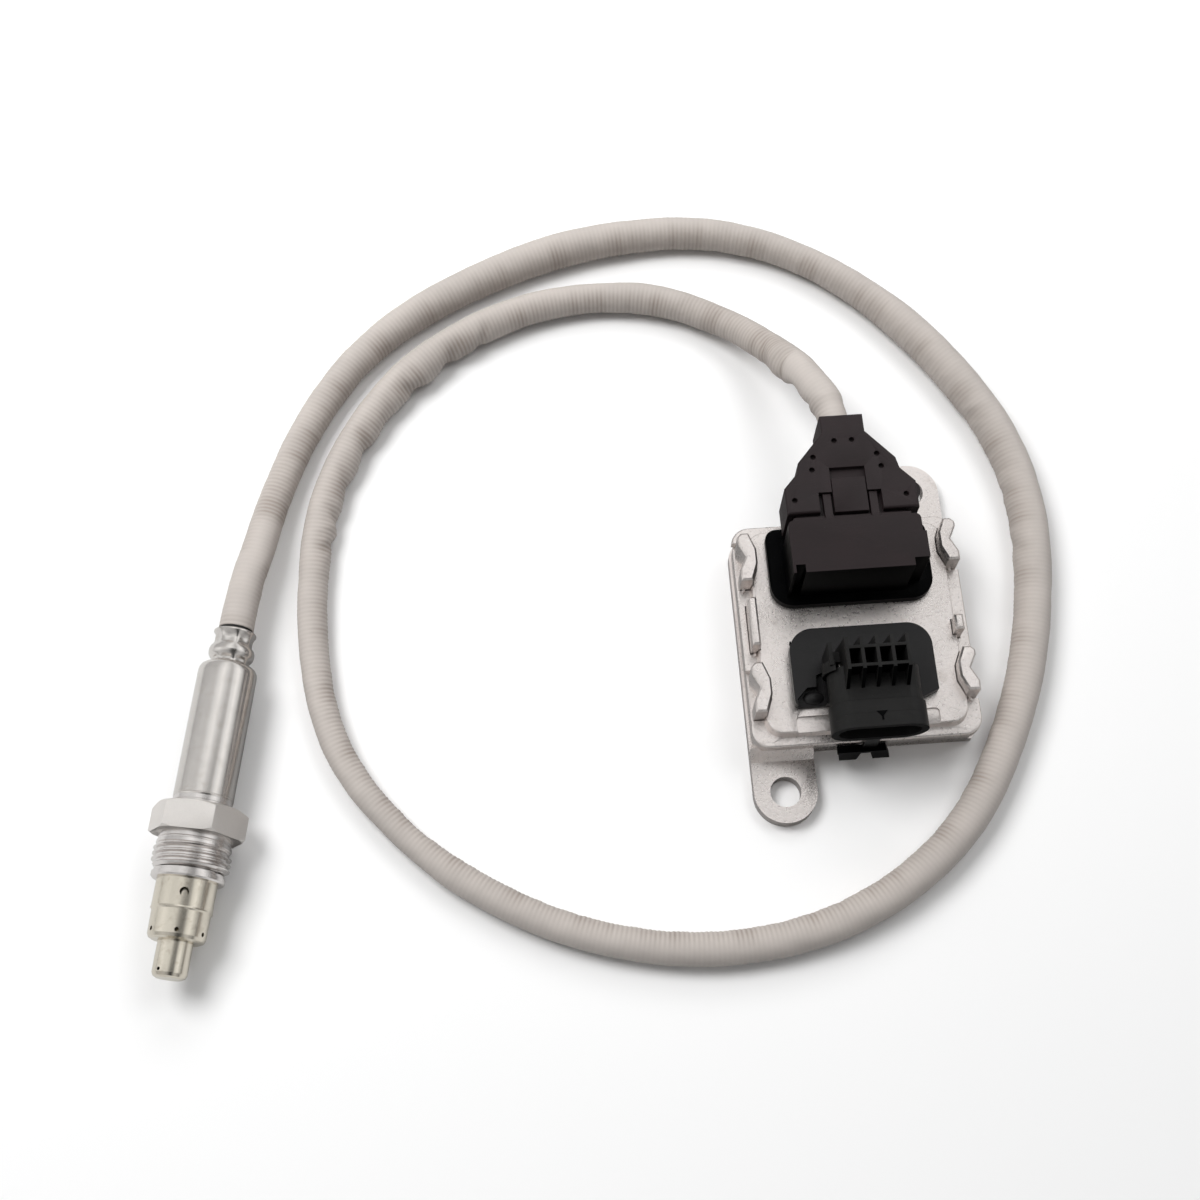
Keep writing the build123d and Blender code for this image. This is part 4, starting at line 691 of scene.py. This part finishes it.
def evenPlaces(count, step):
    places, index = [], 0
    for i in range(count):
        distance = i * step
        while index < len(lengths) - 2 and lengths[index + 1] < distance:
            index += 1
        share = (distance - lengths[index]) / max(1e-9, lengths[index + 1] - lengths[index])
        places.append(centreline[index].lerp(centreline[index + 1], min(1.0, share)))
    return places


def between(table, share):
    for (low, first), (high, second) in zip(table, table[1:]):
        if share <= high:
            mix = (share - low) / (high - low)
            mix = mix * mix * (3 - 2 * mix)
            return first + (second - first) * mix
    return table[-1][1]


def wave(x, seed):  # smooth wandering between -1 and 1
    return (
        math.sin(x * 1.0 + seed * 1.7) * 0.5
        + math.sin(x * 2.3 + seed * 4.1 + 1.3) * 0.3
        + math.sin(x * 4.9 + seed * 2.9 + 0.4) * 0.2
    )


def buildHose():
    ribs = int(hoseLength / hose["pitch"])
    rings = ribs * hose["steps"] + 1
    step = hoseLength / (rings - 1)
    places = evenPlaces(rings, step)
    sides = hose["sides"]
    reach = hose["bendRings"]
    often, wide, strong = hoseShade["patches"]
    vertices, faces, creaseShades = [], [], []
    for i, place in enumerate(places):
        ahead = places[min(i + 1, rings - 1)]
        behind = places[max(i - 1, 0)]
        forward = (ahead - behind).normalized()
        side = forward.cross(Vector((0, 0, 1))).normalized()
        up = side.cross(forward)
        bend = places[min(i + reach, rings - 1)] + places[max(i - reach, 0)] - 2 * place
        bend = bend / max(1e-9, (reach * step) ** 2)
        distance = i * step
        radius = between(hose["radii"], distance * 1000) / 1000
        sharp = min(1.0, bend.length / hose["sharpBend"])
        inward = bend.normalized()
        phase = i / hose["steps"] * 2 * math.pi
        ring = (math.cos(phase) * 0.5 + 0.5) ** hose["ribWidth"]
        edge = min(distance, hoseLength - distance)
        calm = min(1.0, edge / hose["calmEnd"])
        ripple = wave(distance * 620 + wave(distance * 90, 3) * 2.5, 2)
        patch = max(0.0, wave(distance * often, 4) + wide) * strong
        bent = hoseShade["straight"] + hoseShade["bent"] * sharp
        for j in range(sides):
            angle = 2 * math.pi * j / sides
            outward = side * math.cos(angle) + up * math.sin(angle)
            facing = outward.dot(inward)
            inner = max(0.0, facing) * sharp  # 1 on the inner side of a bend
            fold = ripple + wave(distance * 1500 + angle * 0.7, 5) * 0.5
            crinkle = hose["crinkle"] * inner * (fold - 0.35)
            swell = sum(
                high * wave(distance * rate + angle * slant, seed)
                for high, rate, slant, seed in hose["swells"]
            )
            deep = 0.0
            pressed = max(0.0, facing + hose["foldReach"])
            for middle, depth, half in hose["folds"]:
                skew = middle + hose["foldLean"] * math.sin(angle * 2 + middle)
                nearness = max(0.0, 1 - abs(distance * 1000 - skew) / half)
                deep += depth * nearness * nearness * (3 - 2 * nearness) * pressed
            rib = hose["ribDepth"] * (ring - 0.5) * (hose["ribEven"] + hose["ribInner"] * inner)
            corner = place + outward * (radius + rib + calm * (crinkle + swell) - deep / 1000)
            corner.z = max(corner.z, hose["floorGap"])
            vertices.append(corner)
            # painted shade: stronger towards the inner side of a bend, in patches along the hose and in the
            # folds
            soft = min(1.0, max(0.0, facing + hoseShade["around"])) * bent
            creaseShades.append(soft * (hoseShade["evenly"] + patch) + max(0.0, deep) * hoseShade["inFolds"])
    for i in range(rings - 1):
        for j in range(sides):
            k = (j + 1) % sides
            a, b = i * sides + j, i * sides + k
            faces.append((a, b, b + sides, a + sides))
    faces.append(tuple(range(sides - 1, -1, -1)))
    faces.append(tuple((rings - 1) * sides + j for j in range(sides)))
    mesh = bpy.data.meshes.new("hoseJacket")
    mesh.from_pydata([tuple(v) for v in vertices], [], faces)
    layer = mesh.uv_layers.new(name="UVMap")
    for polygon in mesh.polygons:
        for corner in polygon.loop_indices:
            vertex = mesh.loops[corner].vertex_index
            ring, around = divmod(vertex, sides)
            last = any(v % sides == sides - 1 for v in polygon.vertices)
            if len(polygon.vertices) == 4 and around == 0 and last:  # closes the seam
                around = sides
            layer.data[corner].uv = (around / sides, ring * step)
    crease = mesh.attributes.new("crease", "FLOAT", "POINT")
    crease.data.foreach_set("value", creaseShades)
    mesh.polygons.foreach_set("use_smooth", [True] * len(mesh.polygons))
    piece = bpy.data.objects.new("hoseJacket", mesh)
    bpy.context.scene.collection.objects.link(piece)
    return piece


def hoseFinish():
    made = newFinish("hoseFabric")
    crease = made.node("ShaderNodeAttribute", {"attribute_name": "crease"}, {}, output="Fac")
    distance = made.axis(made.node("ShaderNodeUVMap", {"uv_map": "UVMap"}), 1)
    rib = (distance * (2 * math.pi / hose["pitch"])).sum("COSINE") * 0.5 + 0.5
    here = made.place()
    clouds = made.noise(here, 70, 4, 0.6)
    weave = made.noise(here, 2400, 2, 0.5)
    tone = made.mixed(clouds.ramp(0.3, 0.72), (0.47, 0.431, 0.402), (0.52, 0.475, 0.442))
    # painted shade in the creases and folds, weaker on the rib crests
    shadeShare = (crease * (1.0 - rib * 0.45)).held()
    tone = made.mixed(shadeShare * 0.85, tone, (0.27, 0.228, 0.2))
    # painted highlight: the rib crests are lighter
    tone = made.mixed(rib * 0.12, tone, (0.62, 0.57, 0.53))
    return made.surface(
        Base_Color=tone,
        Roughness=(0.5 + weave * 0.15 + clouds * 0.1).held(),
        Normal=made.bump(weave * 0.5 + rib * 0.3, 0.3, 0.00008),
    )


jacket = buildHose()
jacket.data.materials.append(hoseFinish())
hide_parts("hose")
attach(jacket, "sensor")
print("hose built:", len(jacket.data.polygons), "faces")


def lump(place, size, turn, seed, torn):  # mm; a small blob of cast metal or plastic
    clear()
    bpy.ops.mesh.primitive_ico_sphere_add(subdivisions=3, radius=1.0)
    piece = bpy.context.object
    for corner in piece.data.vertices:
        way = corner.co
        grow = wave(way.x * 2.1 + way.y * 1.7 + way.z * 1.3, seed)
        grow = grow + 0.5 * wave(way.y * 4.3 - way.z * 3.1, seed + 2)
        corner.co = way * (1 + torn * grow)
    shape = Matrix.Diagonal((*(Vector(size) / 1000), 1.0))
    spun = Matrix.Rotation(math.radians(turn), 4, "Z")
    piece.data.transform(Matrix.Translation(Vector(place) / 1000) @ spun @ shape)
    smoothFaces(piece, meshing["roundBelow"])
    return piece


# Flash beside the pads, ragged and black, which is also a painted shadow in the gap at the pads' foot
flashAndShadow = {  # mm
    "under": 0.35,  # where it starts, inside the pad's edge
    "out": 0.2,
    "ragged": 0.26,
    "notch": -0.6,
    "curl": 0.06,
    "thick": 0.22,
    "taper": 12,  # each end runs out over this part of the length
    "smoothBelow": 30,
}


def raggedStrip(x, low, high, level, seed):  # mm; plastic squeezed out beside a pad, in the blackest finish so that it also stands for the painted shadow in the gap at its foot
    clear()
    bpy.ops.mesh.primitive_grid_add(x_subdivisions=3, y_subdivisions=90, size=1.0)
    piece = bpy.context.object
    for corner in piece.data.vertices:
        along, out = corner.co.y + 0.5, 0.5 - corner.co.x
        ends = min(1.0, along * flashAndShadow["taper"], (1 - along) * flashAndShadow["taper"])
        ragged = flashAndShadow["ragged"] * max(flashAndShadow["notch"], wave(along * 28, seed))
        reach = (flashAndShadow["out"] + ragged) * ends
        rise = flashAndShadow["curl"] * wave(along * 40, seed + 1) * out
        side = x + flashAndShadow["under"] - (flashAndShadow["under"] + reach) * out
        corner.co = Vector((side, low + (high - low) * along, level + rise)) / 1000
    useModifier(piece, "SOLIDIFY", thickness=flashAndShadow["thick"] / 1000, offset=1)
    smoothFaces(piece, flashAndShadow["smoothBelow"])
    return piece


# What the moulds and the staking leave
leftovers = {
    "burrs": [  # place, size, turn, seed
        ((-27.4, -20.9, 14.4), (1.0, 0.5, 0.5), 70, 1),
        ((-28.7, -22.2, 13.6), (0.8, 0.35, 0.35), 50, 2),
        ((-28.4, 13.3, 13.7), (1.0, 0.45, 0.5), 60, 3),
        ((-27.3, -5.6, 13.6), (0.6, 0.4, 0.4), 80, 4),
        ((27.6, 15.5, 13.6), (0.9, 0.4, 0.45), 115, 5),
        ((27.8, -21.6, 13.6), (0.9, 0.4, 0.45), 110, 6),
        ((26.5, -4.7, 13.5), (0.55, 0.35, 0.35), 95, 7),
    ],
    "bulge": ((-13.8, -19.9, 16.9), (2.9, 1.9, 1.35)),
    # flash beside the pads, also painted shadow in the gap there
    "strips": [  # x, from y, to y, level, seed
        (-18.2, -21.5, -3.5, 16.05, 3),
        (-21.05, 11.0, 27.0, 16.05, 5),
    ],
    "ring": ((-18.0, 24.7, 19.0), 0.55, 0.09),
    "arrow": ((-0.7, -29.0), (0.45, -30.4), (0.45, -31.4), (0.95, -31.4), (0.95, -30.4), (2.1, -29.0)),
    "arrowOver": (0.3, -29.5, 60.0),  # the ray down from here finds the collar's top
    "arrowHeight": 0.14,
    "arrowSunk": 0.05,
    "burrTorn": 0.32,
    "bulgeTorn": 0.04,
}
burrs = [lump(*burr, leftovers["burrTorn"]) for burr in leftovers["burrs"]]
pick(*burrs)
bpy.ops.object.join()
settle(bpy.context.object, "stakeBurrs", "sensor", "die_cast_aluminium", castAluminium)
bulge = lump(*leftovers["bulge"], 0, 9, leftovers["bulgeTorn"])
settle(bulge, "padBulge", "sensor", "black_plastic", padBlack)
for number, strip in enumerate(leftovers["strips"]):
    settle(raggedStrip(*strip), "padFlash" + str(number + 1), "sensor", "black_plastic", rearPadAndShadeBlack)
place, major, minor = leftovers["ring"]
clear()
bpy.ops.mesh.primitive_torus_add(
    major_radius=major / 1000, minor_radius=minor / 1000, major_segments=32, minor_segments=8
)
ring = bpy.context.object
ring.data.transform(Matrix.Translation(Vector(place) / 1000))
smoothFaces(ring, meshing["roundBelow"])
settle(ring, "ejectorRing", "sensor", "black_plastic", rearPadAndShadeBlack)
clear()
bpy.ops.mesh.primitive_circle_add(vertices=len(leftovers["arrow"]), radius=0.001, fill_type="NGON")
arrow = bpy.context.object
above = Vector(leftovers["arrowOver"]) / 1000
found, spot = softer["vehicle_header"].ray_cast(above, Vector((0, 0, -1)))[:2]
for corner, (x, y) in zip(arrow.data.vertices, leftovers["arrow"]):
    corner.co = (x / 1000, y / 1000, spot.z - leftovers["arrowSunk"] / 1000)
rise = (leftovers["arrowHeight"] + leftovers["arrowSunk"]) / 1000
bpy.ops.object.mode_set(mode="EDIT")
bpy.ops.mesh.select_all(action="SELECT")
bpy.ops.mesh.extrude_region_move(TRANSFORM_OT_translate={"value": (0, 0, rise)})
bpy.ops.mesh.select_all(action="SELECT")
bpy.ops.mesh.normals_make_consistent(inside=False)
bpy.ops.object.mode_set(mode="OBJECT")
settle(arrow, "mouldArrow", "sensor", "black_plastic", rearPadAndShadeBlack)
print("arrow on", found, round(spot.z, 5))

# Floor, world and soft studio lamps
studio = {
    "floorSize": 6.0,
    "floorColours": ((0.93, 0.93, 0.93), (0.95, 0.95, 0.95)),
    "backdrop": (0.3, 0.85),  # the floor turns into a white backdrop this far from the probe
    "floorMirroredShade": (0.3, 0.7, 0.1, 0.3),  # painted shade in what metal mirrors of the floor: right of the probe, left of it, a dark strip, past that
    "underProbe": (-0.002, 0.002),
    "stripNear": (0.04, 0.05),
    "stripFar": (0.112, 0.13),
    "stripFront": (-0.066, -0.056),
    "lamps": [
        # place, aim, width, height, watts
        ((-0.44, 0.24, 0.76), (-0.06, 0.02, 0), 0.42, 0.42, 5.4),
        ((0.42, 0.26, 0.85), (-0.06, 0.02, 0), 0.45, 0.45, 2.0),
        ((-0.05, 0.65, 0.6), (-0.06, 0.02, 0), 0.7, 0.3, 1.8),
    ],
    "world": 0.36,
    "overhead": 0.9,
    "horizon": 0.35,  # share of the light that also comes from level with the floor
    "frontDim": (-0.1, -0.75, 0.7),  # from here to there the studio gets this much darker
    "mirrorDim": (0.05, -0.35, 0.4),  # the same, in what metal mirrors
    "rearDim": (0.28, 0.5, 0.12),
    # what polished metal mirrors: degrees from straight up, square to the probe, and brightness
    "mirrored": {
        "rear": (
            (-180, 0.4), (-92, 0.25), (-87, 0.58), (-75, 0.64), (-56, 0.69), (-32, 0.7), (-22, 0.84),
            (-15, 1.06), (-7, 1.12), (0, 1.32), (6, 1.2), (11, 1.02), (19, 0.92), (23, 0.74), (30, 0.66),
            (33.5, 0.56), (37, 0.8), (41, 1.04), (50, 1.1), (56.5, 1.35), (61, 1.16), (65, 0.95),
            (69, 0.88), (73, 0.74), (77, 0.5), (81, 0.28), (86, 0.2), (91, 0.13), (180, 0.3),
        ),
        "near": (
            (-180, 0.5), (-92, 0.3), (-87, 0.78), (-70, 0.95), (-53, 1.1), (-40, 0.98), (-25, 0.88),
            (-11, 0.8), (-4, 0.72), (0, 0.58), (4, 0.38), (8, 0.24), (12, 0.14), (22, 0.08), (32, 0.1),
            (36, 0.2), (40, 0.64), (44, 0.9), (53, 0.92), (61, 1.18), (66, 0.92), (71, 0.78), (79, 0.7),
            (84, 0.6), (88, 0.25), (92, 0.1), (180, 0.3),
        ),
    },
    "brightest": 1.35,
    "nearEdge": (0.196, 0.184),  # from the rear table to the near one, by a ray's run along the probe
}
clear()
bpy.ops.mesh.primitive_plane_add(size=studio["floorSize"], location=(0, 0, 0))
floor = bpy.context.object
floor.name = "studioFloor"
paper = newFinish("studioPaper")
here = paper.place()
paperTone = paper.mixed(paper.noise(here, 40, 3) * 0.1, *studio["floorColours"])
floorX = paper.axis(here, 0) - probe["mouth"].x
floorY = paper.axis(here, 1) - probe["mouth"].y


def turnedToProbe(x, y):  # across the probe and along it, in plan
    sinTurn, cosTurn = -probeDirection.x, -probeDirection.y
    return x * cosTurn - y * sinTurn, x * sinTurn + y * cosTurn


across, along = turnedToProbe(floorX, floorY)
# Painted shade for glossy rays only: the floor that metal mirrors is darker right of the probe and in a
# strip beside it
right, left, strip, beyond = [(tone,) * 3 for tone in studio["floorMirroredShade"]]
rearPart = along.ramp(*studio["stripFront"])
mirroredFloorShade = paper.mixed(across.ramp(*studio["underProbe"]) * rearPart, left, right)
mirroredFloorShade = paper.mixed(across.ramp(*studio["stripNear"]) * rearPart, mirroredFloorShade, strip)
mirroredFloorShade = paper.mixed(across.ramp(*studio["stripFar"]), mirroredFloorShade, beyond)
paperTone = paper.mixed(paper.ray("Is Glossy Ray"), paperTone, mirroredFloorShade)
away = (floorX * floorX + floorY * floorY) ** 0.5
glow = paper.mixed(away.ramp(*studio["backdrop"]) * paper.ray("Is Camera Ray"), (0, 0, 0), (1, 1, 1))
floor.data.materials.append(
    paper.surface(Base_Color=paperTone, Roughness=0.9, Emission_Color=glow, Emission_Strength=1.0)
)
for place, aim, width, height, watts in studio["lamps"]:
    bpy.ops.object.light_add(type="AREA", location=place)
    lamp = bpy.context.object
    aimAt(lamp, place, aim)
    lamp.data.shape = "RECTANGLE"
    lamp.data.size = width
    lamp.data.size_y = height
    lamp.data.energy = watts
    lamp.visible_glossy = False


def dimmed(where, start, end, share):  # 1, and less by this share from start to end
    return 1.0 - where.ramp(start, end) * share


def skyFinish():
    world = bpy.data.worlds.new("studioWorld")
    bpy.context.scene.world = world
    made = Finish(world)
    way = made.node("ShaderNodeTexCoord", output="Generated")
    x, y, z = [made.axis(way, number) for number in range(3)]
    across, along = turnedToProbe(x, y)
    degrees = across.sum("ARCTAN2", z) * (180 / math.pi)
    pictures = []
    for table in studio["mirrored"].values():
        stops = [((d + 180) / 360, (b / studio["brightest"],) * 3) for d, b in table]
        pictures.append(made.node("ShaderNodeValToRGB", {"stops": stops}, {"Fac": degrees / 360 + 0.5}))
    glossy = made.mixed(along.ramp(*studio["nearEdge"]), *pictures)
    mirror = dimmed(y, *studio["mirrorDim"]) * dimmed(y, *studio["rearDim"]) * studio["brightest"]
    above = z.held() * studio["overhead"] + studio["horizon"]
    lamplight = dimmed(y, *studio["frontDim"]) * above * studio["world"]

    def light(strength, colour=(1, 1, 1, 1)):
        return made.node("ShaderNodeBackground", {}, {"Strength": strength, "Color": colour})

    plain, mirrored, seen = light(lamplight), light(mirror, glossy), light(1.0)
    lit = made.node("ShaderNodeMixShader", {}, {0: made.ray("Is Glossy Ray"), 1: plain, 2: mirrored})
    both = made.node("ShaderNodeMixShader", {}, {0: made.ray("Is Camera Ray"), 1: lit, 2: seen})
    made.end(both, "ShaderNodeOutputWorld")


skyFinish()
bpy.context.scene.view_settings.view_transform = "Standard"
print("studio ready")
